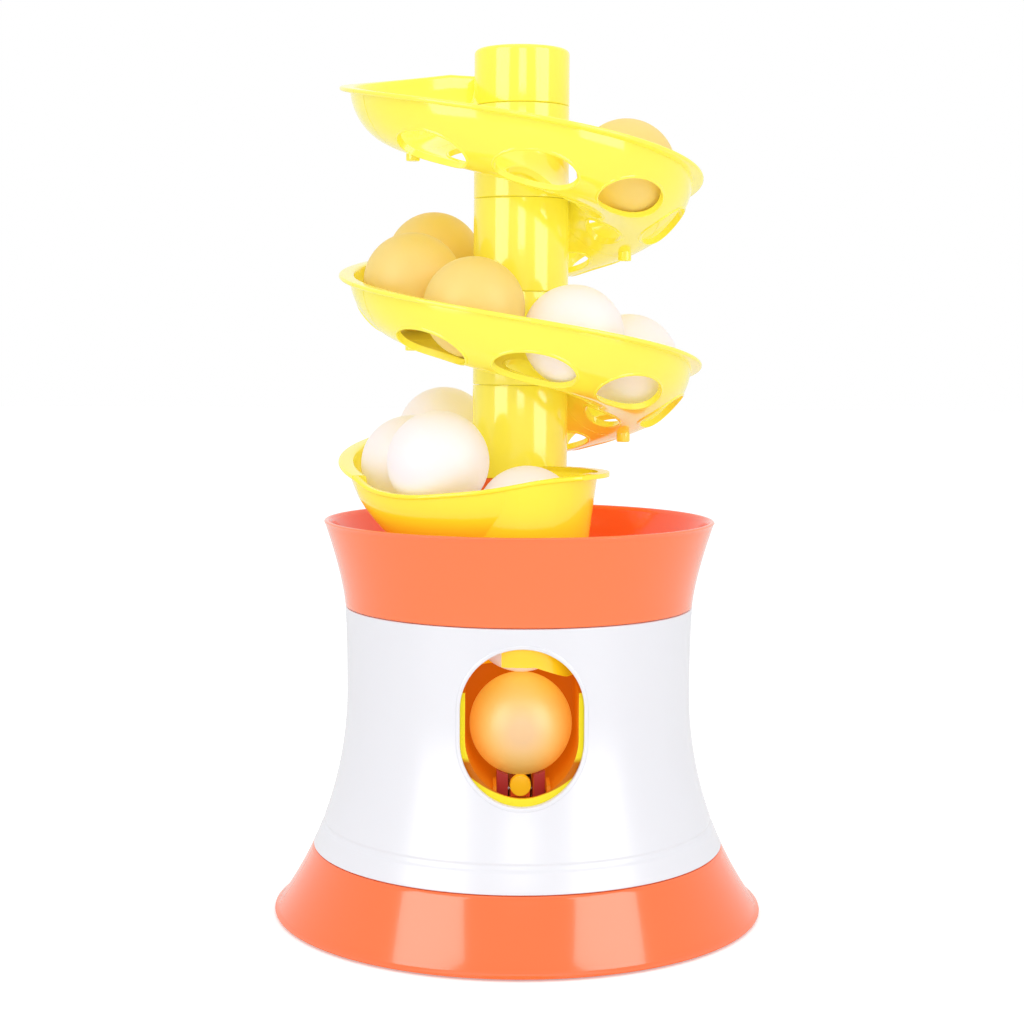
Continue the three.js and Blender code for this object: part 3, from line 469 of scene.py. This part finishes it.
# The light that falls on the object, then what the camera sees.
for socket, strength in ((choose.inputs[1], 0.9), (choose.inputs[2], 1.0)):
    white = tree.nodes.new("ShaderNodeBackground")
    white.inputs["Color"].default_value = (1, 1, 1, 1)
    white.inputs["Strength"].default_value = strength
    tree.links.new(white.outputs["Background"], socket)
tree.links.new(choose.outputs["Shader"], output.inputs["Surface"])


def soft_box(name, x, y, z, width, height, power, diffuse=True):
    """A lamp that faces the object. Without diffuse it shows in reflections only."""
    light = bpy.data.lights.new(name, "AREA")
    light.shape = "RECTANGLE"
    light.size, light.size_y = width, height
    light.energy = power
    lamp = bpy.data.objects.new(name, light)
    lamp.location = (x, y, z)
    aim = Vector((0, 0, 0.17)) - lamp.location
    lamp.rotation_euler = aim.to_track_quat("-Z", "Y").to_euler()
    lamp.visible_diffuse = diffuse
    scene.collection.objects.link(lamp)


soft_box("left reflection", -0.89, -0.78, 0.45, 0.72, 1.3, 11.0, diffuse=False)
soft_box("right reflection", 0.89, -0.78, 0.45, 0.72, 1.3, 11.0, diffuse=False)
soft_box("front box", 0.0, -1.3, 0.5, 0.4, 0.4, 2.0)
soft_box("top box", 0.0, -0.2, 1.5, 1.2, 1.2, 2.5)

floor_mesh = bpy.data.meshes.new("floor")
floor_mesh.from_pydata([(-6, -6, 0), (6, -6, 0), (6, 6, 0), (-6, 6, 0)], [], [(0, 1, 2, 3)])
floor = bpy.data.objects.new("floor", floor_mesh)
scene.collection.objects.link(floor)
paper = bpy.data.materials.new("white floor")
paper.use_nodes = True
tree = paper.node_tree
matte = tree.nodes["Principled BSDF"]
matte.inputs["Base Color"].default_value = (0.9, 0.9, 0.9, 1)
matte.inputs["Roughness"].default_value = 0.9
path = tree.nodes.new("ShaderNodeLightPath")
lift = tree.nodes.new("ShaderNodeMath")
lift.operation = "MULTIPLY"
lift.inputs[1].default_value = 0.3
tree.links.new(path.outputs["Is Camera Ray"], lift.inputs[0])
matte.inputs["Emission Color"].default_value = (1, 1, 1, 1)
tree.links.new(lift.outputs["Value"], matte.inputs["Emission Strength"])
floor_mesh.materials.append(paper)

# Body: one outline for base ring and shell, and a bowl that opens again above.
def body_r(z):
    """The body's outside below the bowl."""
    if z > WAIST_H:
        return lerp(WAIST_R, SHELL_TOP_R, ((z - WAIST_H) / (SHELL_TOP - WAIST_H)) ** 2)
    return WAIST_R + FLARE_R - math.sqrt(FLARE_R ** 2 - (WAIST_H - z) ** 2)


def bowl_r(z):
    """The bowl's outside."""
    return SHELL_TOP_R + (RIM_R - SHELL_TOP_R) * (max(z - SHELL_TOP, 0) / (RIM_H - SHELL_TOP)) ** FLARE_POWER


INSET = BODY_WALL + CLEAR
RING_LAND = 3  # flat foot of the ring inside its edge, and the height of the base plate
ring_top = SHELL_BOTTOM - CLEAR / 2
spigot_top = ring_top + SPIGOT_H
base_outline = [(body_r(0) - INSET - RING_LAND, FOOT_H), (body_r(0) - EDGE_ROUND, FOOT_H)]
base_outline += arc(body_r(0) - EDGE_ROUND, FOOT_H + EDGE_ROUND, EDGE_ROUND, -90, 20, 5)
base_outline += [(body_r(FOOT_H + 1.1 * LIP_H), FOOT_H + 1.1 * LIP_H)]
base_outline += [(body_r(z), z) for z in run(FOOT_H + 1.5 * LIP_H, ring_top - EDGE_ROUND, 24)]
base_outline += arc(body_r(ring_top) - EDGE_ROUND, ring_top - EDGE_ROUND, EDGE_ROUND, 30, 90, 4)
base_outline += [(body_r(ring_top) - INSET, ring_top), (body_r(spigot_top) - INSET, spigot_top),
                 (body_r(spigot_top) - INSET - BODY_WALL, spigot_top)]
base_outline += [(body_r(z) - INSET - BODY_WALL, z) for z in run(ring_top, RING_LAND, 12)]
base_outline += [(body_r(0) - INSET - RING_LAND, RING_LAND - CLEAR)]
base = turned("base_ring_fine", base_outline)
dress(base, ORANGE, "housing", "orange_plastic", "base_ring")

shell_foot, shell_head = SHELL_BOTTOM + CLEAR / 2, SHELL_TOP - CLEAR / 2


def shell_r(z):
    """The shell's outside with its shallow ring groove."""
    near = max(0.0, 1 - abs(z - GROOVE_H) / (GROOVE_W / 2 + GROOVE_EASE))
    return body_r(z) - GROOVE_D * min(1.0, near * 2)


shell_outline = arc(body_r(shell_foot) - EDGE_ROUND, shell_foot + EDGE_ROUND, EDGE_ROUND, -90, -20, 4)
shell_outline += [(shell_r(z), z) for z in run(shell_foot + EDGE_ROUND, GROOVE_H - 2, 8)]
shell_outline += [(shell_r(z), z) for z in run(GROOVE_H - 1.8, GROOVE_H + 1.8, 12)]
shell_outline += [(shell_r(z), z) for z in run(GROOVE_H + 2, shell_head - EDGE_ROUND, 46)]
shell_outline += arc(body_r(shell_head) - EDGE_ROUND, shell_head - EDGE_ROUND, EDGE_ROUND, 0, 90, 4)
shell_outline += [(body_r(z) - BODY_WALL, z) for z in run(shell_head, shell_foot, 30)]
shell = turned("white_shell_fine", shell_outline, 240)


WINDOW_STRAIGHT = (WINDOW_H - WINDOW_W) / 2


def window_outline(count):
    """The window in (x, z): two half circles with a straight piece between them."""
    r = WINDOW_W / 2
    top = arc(0, WINDOW_Z + WINDOW_STRAIGHT, r, 0, 180, count)
    return top + arc(0, WINDOW_Z - WINDOW_STRAIGHT, r, 180, 360, count)


window_cut = through_front("cut", window_outline(24), -BASE_R, -TUBE_Y)
switch_cut = block("cut", -SWITCH_HALF_W, SWITCH_HALF_W, TUBE_Y, BASE_R,
                   SWITCH_Z - SWITCH_HALF_H, SWITCH_Z + SWITCH_HALF_H)
shell = combine(shell, window_cut, switch_cut)

# Raised edge round the window: a rounded bead that follows the shell's curve.
bead = []
for x, z in window_outline(40):
    past = math.copysign(max(abs(z - WINDOW_Z) - WINDOW_STRAIGHT, 0), z - WINDOW_Z)
    normal = Vector((x, 0, past)).normalized()
    ring = []
    for out, lift_by in ((0, -BODY_WALL - 0.2), (-0.05, 0.0), (0.15, EDGE_PROUD * 0.85), (0.5, EDGE_PROUD),
                         (EDGE_W - 0.5, EDGE_PROUD), (EDGE_W - 0.1, EDGE_PROUD * 0.6), (EDGE_W + 0.15, -0.3),
                         (EDGE_W, -BODY_WALL - 0.2)):
        px, pz = x + normal.x * out, z + normal.z * out
        r = body_r(pz)
        ring.append((px, -math.sqrt(r * r - px * px) - lift_by, pz))
    bead.append(ring)
edge_ring = swept("edge", bead, closed=True, sharp=50)
shell = join(shell, edge_ring)
dress(shell, WHITE, "housing", "white_plastic", "white_shell")

bowl_foot = SHELL_TOP + CLEAR / 2
skirt = body_r(SHELL_TOP) - INSET
post_top = HUB_BOTTOM - CLEAR / 2
spigot_r = HUB_R - HUB_WALL - CLEAR
spigot_in = spigot_r - HUB_WALL
half = BODY_WALL / 2
bowl_outline = [(skirt - BODY_WALL, SHELL_TOP - SPIGOT_H), (skirt, SHELL_TOP - SPIGOT_H), (skirt, bowl_foot)]
bowl_outline += arc(bowl_r(bowl_foot) - EDGE_ROUND, bowl_foot + EDGE_ROUND, EDGE_ROUND, -90, 0, 4)
bowl_outline += [(bowl_r(z), z) for z in run(bowl_foot + 1, RIM_H - half, 30)]
bowl_outline += arc(bowl_r(RIM_H) - half, RIM_H - half, half, 20, 160, 10)
bowl_outline += [(bowl_r(z) - BODY_WALL, z) for z in run(RIM_H - half, BOWL_FLOOR + BOWL_FILLET, 24)]
bowl_outline += arc(bowl_r(BOWL_FLOOR) - BODY_WALL - BOWL_FILLET, BOWL_FLOOR + BOWL_FILLET, BOWL_FILLET,
                    0, -90, 5)
bowl_outline += [(HUB_R + 1, BOWL_FLOOR), (HUB_R, BOWL_FLOOR + 1), (HUB_R, post_top - 0.3),
                 (HUB_R - 0.3, post_top), (spigot_r, post_top), (spigot_r, post_top + HUB_SPIGOT),
                 (spigot_in, post_top + HUB_SPIGOT), (spigot_in, BOWL_FLOOR - BODY_WALL),
                 (skirt - BODY_WALL, BOWL_FLOOR - BODY_WALL)]
bowl = turned("top_bowl_fine", bowl_outline)
bowl = combine(bowl, post("cut", 0, -TUBE_Y, TUBE_OUT + CLEAR, SHELL_TOP - SPIGOT_H - 5, BOWL_FLOOR + 5))
dress(bowl, BOWL_ORANGE, "housing", "orange_plastic", "top_bowl")

# Tower: each piece is half a turn of channel on its own hub.
def rim_at(a):
    """Height of the channel's rim at an azimuth, which runs on over the turns."""
    return CAP_BOTTOM + CHANNEL_DROP - PITCH * (a - SEAM_AZ) / 360


def polar(radius, a):
    """x and y of a point at a radius and an azimuth."""
    return radius * math.cos(math.radians(a)), radius * math.sin(math.radians(a))


ROOT_R = HUB_R - HUB_WALL / 2
LIP_ROUND = 0.8
HELIX_STEP = 2.0
ROUND = run(0, 2 * math.pi * 71 / 72, 72)


def lip_edge():
    """The rounded outer edge of the channel's lip."""
    r = TRACK_LIP_R - LIP_ROUND
    return arc(r, -LIP_ROUND, LIP_ROUND, 70, -20, 4) + arc(r, -TRACK_LIP_T + LIP_ROUND, LIP_ROUND, 0, -80, 4)


def oval(grow, t, deep=1.0, radius=CHANNEL_R, middle=CHANNEL_MID):
    """A point of the channel's oval, steeper outside its lowest line than towards the hub."""
    half = middle - HUB_R if math.cos(t) < 0 else radius - middle
    return middle + (half + grow) * math.cos(t), -(CHANNEL_D * deep + grow) * math.sin(t)


OVAL_STEPS = 40


def trough(deep=1.0, radius=CHANNEL_R, middle=CHANNEL_MID):
    """Closed outline of the channel as (radius, height below the rim), lip and walls rounded."""
    inner_turn = math.pi - math.asin(CHANNEL_DROP / CHANNEL_D)
    inside = [oval(0, t, deep, radius, middle) for t in run(inner_turn, 0.06, OVAL_STEPS)]
    lip = [(radius + 0.3, -0.5), (radius + 0.9, -0.08), (radius + 1.6, 0), (TRACK_LIP_R - LIP_ROUND, 0)]
    lip += lip_edge()
    t0 = math.asin((TRACK_LIP_T + 0.1) / (CHANNEL_D * deep + CHANNEL_WALL))
    t1 = math.acos((ROOT_R - middle) / (middle - HUB_R + CHANNEL_WALL))
    under = [oval(CHANNEL_WALL, t, deep, radius, middle) for t in run(t0, t1, OVAL_STEPS)]
    return inside + lip + under + [(ROOT_R, -CHANNEL_DROP)]


def end_plate():
    """Outline of the wall that closes the channel's start."""
    under = [oval(CHANNEL_WALL, t) for t in run(0.09, math.pi * 0.97, OVAL_STEPS)]
    return [(ROOT_R, 0), (TRACK_LIP_R, 0), (TRACK_LIP_R, -TRACK_LIP_T)] + under


def helix(name, start, end, rim=rim_at, section=trough, depth=None):
    """A section carried round the column from one azimuth to another, hung from the rim."""
    count = max(2, math.ceil((end - start) / HELIX_STEP) + 1)
    sections = []
    for a in run(start, end, count):
        outline = section(depth(a)) if depth else section()
        sections.append([(*polar(r, a), rim(a) + z) for r, z in outline])
    return swept(name, sections)


def hole_frame(a, hole):
    """Axes of an opening: along the channel, across it, and out through the wall."""
    reach, below, tilt, _, _ = hole
    out = Vector((*polar(1, a), 0))
    fall = math.atan(PITCH / (2 * math.pi * reach))
    down = Vector((0, 0, -1))
    along = (-down.cross(out)) * math.cos(fall) + down * math.sin(fall)
    along.normalize()
    lean = down * math.cos(math.radians(tilt)) + out * math.sin(math.radians(tilt))
    lean -= along * lean.dot(along)
    lean.normalize()
    middle = out * reach + Vector((0, 0, rim_at(a) - below))
    return middle, along, lean.cross(along), lean


def hole_edge(along, across, hole, t, grow=0.0):
    """From an opening's centre to its edge, which is an oval."""
    long, wide = hole[3:]
    return along * ((long / 2 + grow) * math.cos(t)) + across * ((wide / 2 + grow) * math.sin(t))


def hole_cut(a, hole):
    """The cutter of an opening: an oval post square to the wall."""
    middle, along, across, lean = hole_frame(a, hole)
    rows = []
    for push in (-HOLE_CUT, HOLE_CUT):
        rows.append([tuple(middle + hole_edge(along, across, hole, t) + lean * push) for t in ROUND])
    return swept("cut", rows)


def wall_depth(point, a_rim, inner):
    """How far a point lies beyond the channel wall, as a share of the wall's oval."""
    r = math.hypot(point.x, point.y)
    grow = 0 if inner else CHANNEL_WALL
    half = (CHANNEL_MID - HUB_R if r < CHANNEL_MID else CHANNEL_R - CHANNEL_MID) + grow
    return ((r - CHANNEL_MID) / half) ** 2 + ((point.z - a_rim) / (CHANNEL_D + grow)) ** 2 - 1


def on_wall(azimuth, middle, lean, offset, inner):
    """The place on the wall straight out from a point of the opening."""
    low, high = -2 * HOLE_CUT, 2 * HOLE_CUT
    for _ in range(28):
        half = (low + high) / 2
        p = middle + offset + lean * half
        a = math.degrees(math.atan2(p.y, p.x))
        turn = round((azimuth - a) / 360)
        if wall_depth(p, rim_at(a + 360 * turn), inner) > 0:
            high = half
        else:
            low = half
    return middle + offset + lean * low


def bead_round(a, hole, inner):
    """A rounded rib round an opening, on the inside or the outside of the wall."""
    middle, along, across, lean = hole_frame(a, hole)
    side = -1 if inner else 1
    rings = []
    for t in ROUND:
        ring = []
        for grow, rise in ((-0.05, -0.5), (-0.05, BEAD_PROUD * 0.6), (BEAD_W * 0.3, BEAD_PROUD),
                           (BEAD_W * 0.7, BEAD_PROUD), (BEAD_W * 1.05, BEAD_PROUD * 0.5),
                           (BEAD_W * 1.3, -0.5)):
            offset = hole_edge(along, across, hole, t, grow)
            ring.append(tuple(on_wall(a, middle, lean, offset, inner) + lean * side * rise))
        rings.append(ring)
    return swept("bead", rings, closed=True, sharp=60)


def rounded_hub(name, z0, z1, capped=False):
    """A piece's tube round the column's axis, with a spigot on top or a closed cap."""
    low = z0 + CLEAR / 2
    outline = [(HUB_R - HUB_WALL, low)] + arc(HUB_R - HUB_ROUND, low + HUB_ROUND, HUB_ROUND, -90, 0, 4)
    if capped:
        outline += arc(HUB_R - CAP_ROUND, z1 - CAP_ROUND, CAP_ROUND, 0, 90, 10)
        outline += [(ON_AXIS, z1), (ON_AXIS, z1 - HUB_WALL), (HUB_R - HUB_WALL, z1 - HUB_WALL)]
        return turned(name, outline)
    high = z1 - CLEAR / 2
    spigot = HUB_R - HUB_WALL - CLEAR
    outline += arc(HUB_R - HUB_ROUND, high - HUB_ROUND, HUB_ROUND, 0, 90, 4)
    outline += [(spigot, high), (spigot, high + HUB_SPIGOT), (spigot - HUB_WALL, high + HUB_SPIGOT),
                (spigot - HUB_WALL, z1 - HUB_WALL), (HUB_R - HUB_WALL, z1 - 2 * HUB_WALL)]
    return turned(name, outline)


def shadow(z0, z1):
    """Room for the neighbouring hub."""
    return post("cut", 0, 0, HUB_R + CLEAR, z0, z1)


def channel_peg(a):
    """The locating peg under the channel."""
    foot = rim_at(a) - CHANNEL_D - CHANNEL_WALL
    x, y = polar(CHANNEL_MID, a)
    outline = [(ON_AXIS, foot + CHANNEL_WALL / 2), (ON_AXIS, foot - PEG_L)]
    outline += arc(PEG_R - EDGE_ROUND, foot - PEG_L + EDGE_ROUND, EDGE_ROUND, -90, 0, 4)
    outline += [(PEG_R, foot + CHANNEL_WALL / 2)]
    return turned("peg", outline, 48, (x, y))


SEAM_GAP = math.degrees(CLEAR / CHANNEL_MID) / 2


def half_turn(index):
    """One piece of the column, counted from the top."""
    name = f"track_turn_{index + 1}_fine"
    z1 = HUB_BOTTOM + (TURNS - index) * HUB_L
    z0 = z1 - HUB_L
    start = SEAM_AZ + 180 * index
    end = start + 180
    body = helix(name, start + SEAM_GAP, end - SEAM_GAP)
    cuts = [shadow(z0 - PITCH, z0 + CLEAR / 2), shadow(z1 - CLEAR / 2, z1 + PITCH),
            post("cut", 0, 0, HUB_R - HUB_WALL / 2, z0, z1)]
    azimuths = [start + HOLE_LEAD + HOLE_STEP * i for i in range(HOLES)]
    holes = [(a, hole) for a in azimuths for hole in (OUTER_HOLE, INNER_HOLE)]
    cuts += [hole_cut(a, hole) for a, hole in holes]
    body = combine(body, *cuts)
    extras = [rounded_hub("hub", z0, z1), channel_peg(end - PEG_LEAD)]
    extras += [bead_round(a, hole, inner) for a, hole in holes for inner in (False, True)]
    body = join(body, *extras)
    dress(body, YELLOW, "tower", "yellow_plastic", f"track_turn_{index + 1}")


for turn_index in range(TURNS):
    half_turn(turn_index)

START_AZ = SEAM_AZ - START_SPAN


def start_rim(a):
    """The rim, held just below the cap's top."""
    return min(rim_at(a), CAP_TOP - CAP_GAP)


start_piece = helix("track_start_fine", START_AZ, SEAM_AZ - SEAM_GAP, start_rim)
start_piece = combine(start_piece, shadow(CAP_BOTTOM - PITCH, CAP_BOTTOM + CLEAR / 2),
                      post("cut", 0, 0, HUB_R - HUB_WALL / 2, CAP_BOTTOM, CAP_TOP + 2))
wall_turn = math.degrees(CHANNEL_WALL / CHANNEL_MID)
end_wall = helix("end", START_AZ, START_AZ + wall_turn, start_rim, end_plate)
start_piece = join(start_piece, end_wall, rounded_hub("cap", CAP_BOTTOM, CAP_TOP, capped=True),
                   channel_peg(SEAM_AZ - PEG_LEAD))
dress(start_piece, YELLOW, "tower", "yellow_plastic", "track_start")

# Final chute: the channel opens into the flared mouth of the drop tube.
CHUTE_START = SEAM_AZ + 180 * TURNS
CHUTE_OPEN = CHUTE_START + CHUTE_OPEN_SPAN
CHUTE_END = CHUTE_START + CHUTE_SPAN


def chute_rim(a):
    """Rim height along the chute: a smooth curve through the measured shares."""
    share = min(1.0, (a - CHUTE_START) / CHUTE_SPAN)
    points = CHUTE_RIM
    i = max(0, min(len(points) - 2, sum(1 for s, _ in points if s < share) - 1))
    (s0, f0), (s1, f1) = points[i], points[i + 1]
    before = points[i - 1] if i else points[i]
    after = points[i + 2] if i + 2 < len(points) else points[i + 1]
    m0 = (f1 - before[1]) / (s1 - before[0])
    m1 = (after[1] - f0) / (after[0] - s0)
    t, h = (share - s0) / (s1 - s0), s1 - s0
    fall = ((2 * t ** 3 - 3 * t ** 2 + 1) * f0 + (t ** 3 - 2 * t ** 2 + t) * h * m0
            + (3 * t ** 2 - 2 * t ** 3) * f1 + (t ** 3 - t ** 2) * h * m1)
    return rim_at(CHUTE_START) - PITCH * fall


MOUTH_H = chute_rim(CHUTE_END)


def chute_deep(a):
    """The chute's depth as a share of the channel's."""
    return 1 + CHUTE_DEEPER * min(1, (a - CHUTE_START) / (CHUTE_SPAN / 2))


def chute_trough(deep):
    """Outline of the chute, which is wider than the channel."""
    return trough(deep, CHUTE_R, CHUTE_MID)


def way(deep):
    """Room for the balls: the channel's inside, a little larger, and open above."""
    out = 0.4
    under = [oval(out, t, deep, CHUTE_R, CHUTE_MID) for t in run(math.pi, 0, 24)]
    return [(HUB_R - out, BALL_R)] + under + [(CHUTE_R + out, BALL_R)]


def mouth_rim():
    """Outline of the lip alone, as wide as the channel."""
    return [(ROOT_R, 0), (TRACK_LIP_R - LIP_ROUND, 0)] + lip_edge() + [(ROOT_R, -TRACK_LIP_T)]


def above_rim():
    """Outline of all that stands above the rim."""
    return [(ROOT_R, 0), (BASE_R, 0), (BASE_R, BALL_R), (ROOT_R, BALL_R)]


def bore():
    """The drop tube's inside, open above."""
    outline = [(ON_AXIS, TUBE_BOTTOM - 1), (TUBE_IN, TUBE_BOTTOM - 1), (TUBE_IN, BOWL_FLOOR),
               (MOUTH_R - TUBE_WALL, MOUTH_H), (MOUTH_R - TUBE_WALL, MOUTH_H + PITCH),
               (ON_AXIS, MOUTH_H + PITCH)]
    return turned("cut", outline, 96, (0, -TUBE_Y))


RIM_END = CHUTE_END + CHUTE_SPAN / 2
chute = helix("final_chute_fine", CHUTE_START + SEAM_GAP, CHUTE_OPEN, chute_rim, chute_trough, chute_deep)
chute = combine(chute, bore(), shadow(BOWL_FLOOR, CAP_BOTTOM))
mouth = helix("mouth", CHUTE_OPEN - 0.5, RIM_END, chute_rim, mouth_rim)
mouth = combine(mouth, post("keep", 0, -TUBE_Y, MOUTH_R + MOUTH_LIP, BOWL_FLOOR, CAP_BOTTOM), how="INTERSECT")
mouth = combine(mouth, bore(), shadow(BOWL_FLOOR, CAP_BOTTOM))
shaft_outline = [(TUBE_IN, TUBE_BOTTOM), (TUBE_OUT - 0.4, TUBE_BOTTOM), (TUBE_OUT, TUBE_BOTTOM + 0.4),
                 (TUBE_OUT, BOWL_FLOOR), (MOUTH_R, MOUTH_H), (MOUTH_R - TUBE_WALL, MOUTH_H),
                 (TUBE_IN, BOWL_FLOOR)]
shaft = turned("shaft", shaft_outline, 96, (0, -TUBE_Y))
tube_front, below_tube = -TUBE_Y - TUBE_OUT - 1, TUBE_BOTTOM - 1
slope = [(-TUBE_IN, below_tube), (TUBE_IN - 1, below_tube), (TUBE_SLOPE, TUBE_LIP), (-TUBE_IN, TUBE_LIP)]
lip_cut = through_front("cut", slope, tube_front, -TUBE_Y)
notch_cut = block("cut", -TUBE_OUT - 1, -TUBE_NOTCH, tube_front, -TUBE_Y, below_tube, TUBE_MOUTH)
way_cut = helix("cut", CHUTE_START, CHUTE_OPEN, chute_rim, way, chute_deep)
above_cut = helix("cut", CHUTE_START, RIM_END, chute_rim, above_rim)
shaft = combine(shaft, way_cut, above_cut, shadow(BOWL_FLOOR, CAP_BOTTOM), lip_cut, notch_cut)
foot_az = CHUTE_START + CHUTE_SPAN / 8
foot_x, foot_y = polar(CHANNEL_MID, foot_az)
foot_post = post("foot", foot_x, foot_y, PEG_R, BOWL_FLOOR + CLEAR,
                 chute_rim(foot_az) - CHANNEL_D * chute_deep(foot_az) - CHANNEL_WALL / 2)
chute = join(chute, mouth, shaft, foot_post)
dress(chute, CHUTE_YELLOW, "housing", "yellow_plastic", "final_chute")

# Launch cradle: a U round the waiting ball.
CRADLE_OUT = CRADLE_HALF + CRADLE_SHOWN_WALL


def u_shape(half, top, y1, name="cut"):
    """A block with a round foot, half a width to each side of the middle, from the front to y1."""
    foot = arc(0, CRADLE_BOTTOM + CRADLE_HALF, half, 180, 360, 48)
    return through_front(name, [(half, top), (-half, top)] + foot, -BASE_R, y1)


cradle = u_shape(CRADLE_OUT, CRADLE_TOP, -CRADLE_BACK + CRADLE_WALL, "launch_cradle_fine")
keep = [(ON_AXIS, shell_foot)] + [(body_r(z) - INSET, z) for z in run(shell_foot, shell_head, 24)]
keep += [(ON_AXIS, shell_head)]
cradle = combine(cradle, turned("keep", keep, 180), how="INTERSECT")
collar = TUBE_OUT + CLEAR
over_top = CRADLE_TOP + 1
front_leg = PLATE_FLOOR + PLATE_T + CLEAR
slot_half = GUIDE_HALF + CLEAR
slot_front = body_r(CRADLE_BOTTOM) - INSET - SLOT_RIM
extras = []
for side in (-1, 1):
    x0, x1 = sorted((side * LEG_SIDE, side * (LEG_SIDE + LEG_W)))
    leg = block("leg", x0, x1, -LEG_FRONT, -LEG_BACK, front_leg, CRADLE_BOTTOM + LEG_W)
    extras.append(combine(leg, u_shape(CRADLE_HALF, CRADLE_TOP, -CRADLE_BACK)))
    x0, x1 = sorted((side * slot_half, side * (slot_half + RIB_W)))
    extras.append(block("rib", x0, x1, -slot_front, -GUIDE_FRONT, CRADLE_BOTTOM, RIB_TOP))
cradle_cuts = [
    u_shape(CRADLE_HALF, over_top, -CRADLE_BACK),
    # Room for the drop tube, and the step in the side walls.
    block("cut", -collar, collar, -BASE_R, -CRADLE_BACK, CRADLE_STEP, over_top),
    post("cut", 0, -TUBE_Y, collar, CRADLE_STEP, over_top),
    block("cut", -CRADLE_OUT, CRADLE_OUT, -BASE_R, -TUBE_Y - TUBE_OUT / 2, CRADLE_STEP, over_top),
    # Room for the guide and the striker, and the slot through which cheeks and boss show.
    block("cut", -slot_half, slot_half, -GUIDE_FRONT - CLEAR, -GUIDE_BACK + CLEAR,
          PLATE_FLOOR, CRADLE_BOTTOM + CRADLE_HALF),
    block("cut", -GUIDE_SLOT, GUIDE_SLOT, -GUIDE_BACK, 0, PLATE_FLOOR, PIVOT_Z + TAIL),
    block("cut", -slot_half, slot_half, -slot_front, -GUIDE_FRONT, PLATE_FLOOR, SLOT_TOP),
]
cradle = join(combine(cradle, *cradle_cuts), *extras)
dress(cradle, CRADLE_YELLOW, "housing", "yellow_plastic", "launch_cradle")

# Striker's yellow boss: a short round pin with a soft edge.
low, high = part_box("striker_boss")
boss_r = (high.z - low.z) / 2 / MM
boss_y0, boss_y1 = low.y / MM, high.y / MM
boss_z = (high.z + low.z) / 2 / MM
boss_outline = [(ON_AXIS, boss_y0)]
boss_outline += arc(boss_r - EDGE_ROUND, boss_y0 + EDGE_ROUND, EDGE_ROUND, -90, 0, 4)
boss_outline += [(boss_r, boss_y1), (ON_AXIS, boss_y1)]
boss = swept("striker_boss_fine", [[(x, y, z) for x, z in circle(0, boss_z, r, 48)] for r, y in boss_outline])
dress(boss, DISC_YELLOW, "striker", "yellow_plastic", "striker_boss")


# Balls, 40 mm across.
def smooth_ball(node, material, body, slot_name):
    """A fine sphere in the place of a ball's node."""
    low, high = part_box(node)
    middle = (low + high) / 2 / MM
    rings = 32
    rows = []
    for i in range(rings + 1):
        t = math.pi * i / rings
        r = max(BALL_R * math.sin(t), 0.005)
        rows.append([(x, y, middle.z - BALL_R * math.cos(t)) for x, y in circle(middle.x, middle.y, r, 64)])
    ball = swept(f"{node}_fine", rows)
    dress(ball, material, body, slot_name, node)


BODY_OF = {node: body for body, names in frame["record"]["behaviour"]["bodies"].items() for node in names}
for part in frame["record"]["subparts"]:
    ball_node, ball_slot = part["node"], part["material_slot"]
    if ball_slot in ("orange_ball", "white_ball"):
        look = READY_BALL if ball_node == "launch_ball" else SLOTS[ball_slot]
        smooth_ball(ball_node, look, BODY_OF[ball_node], ball_slot)
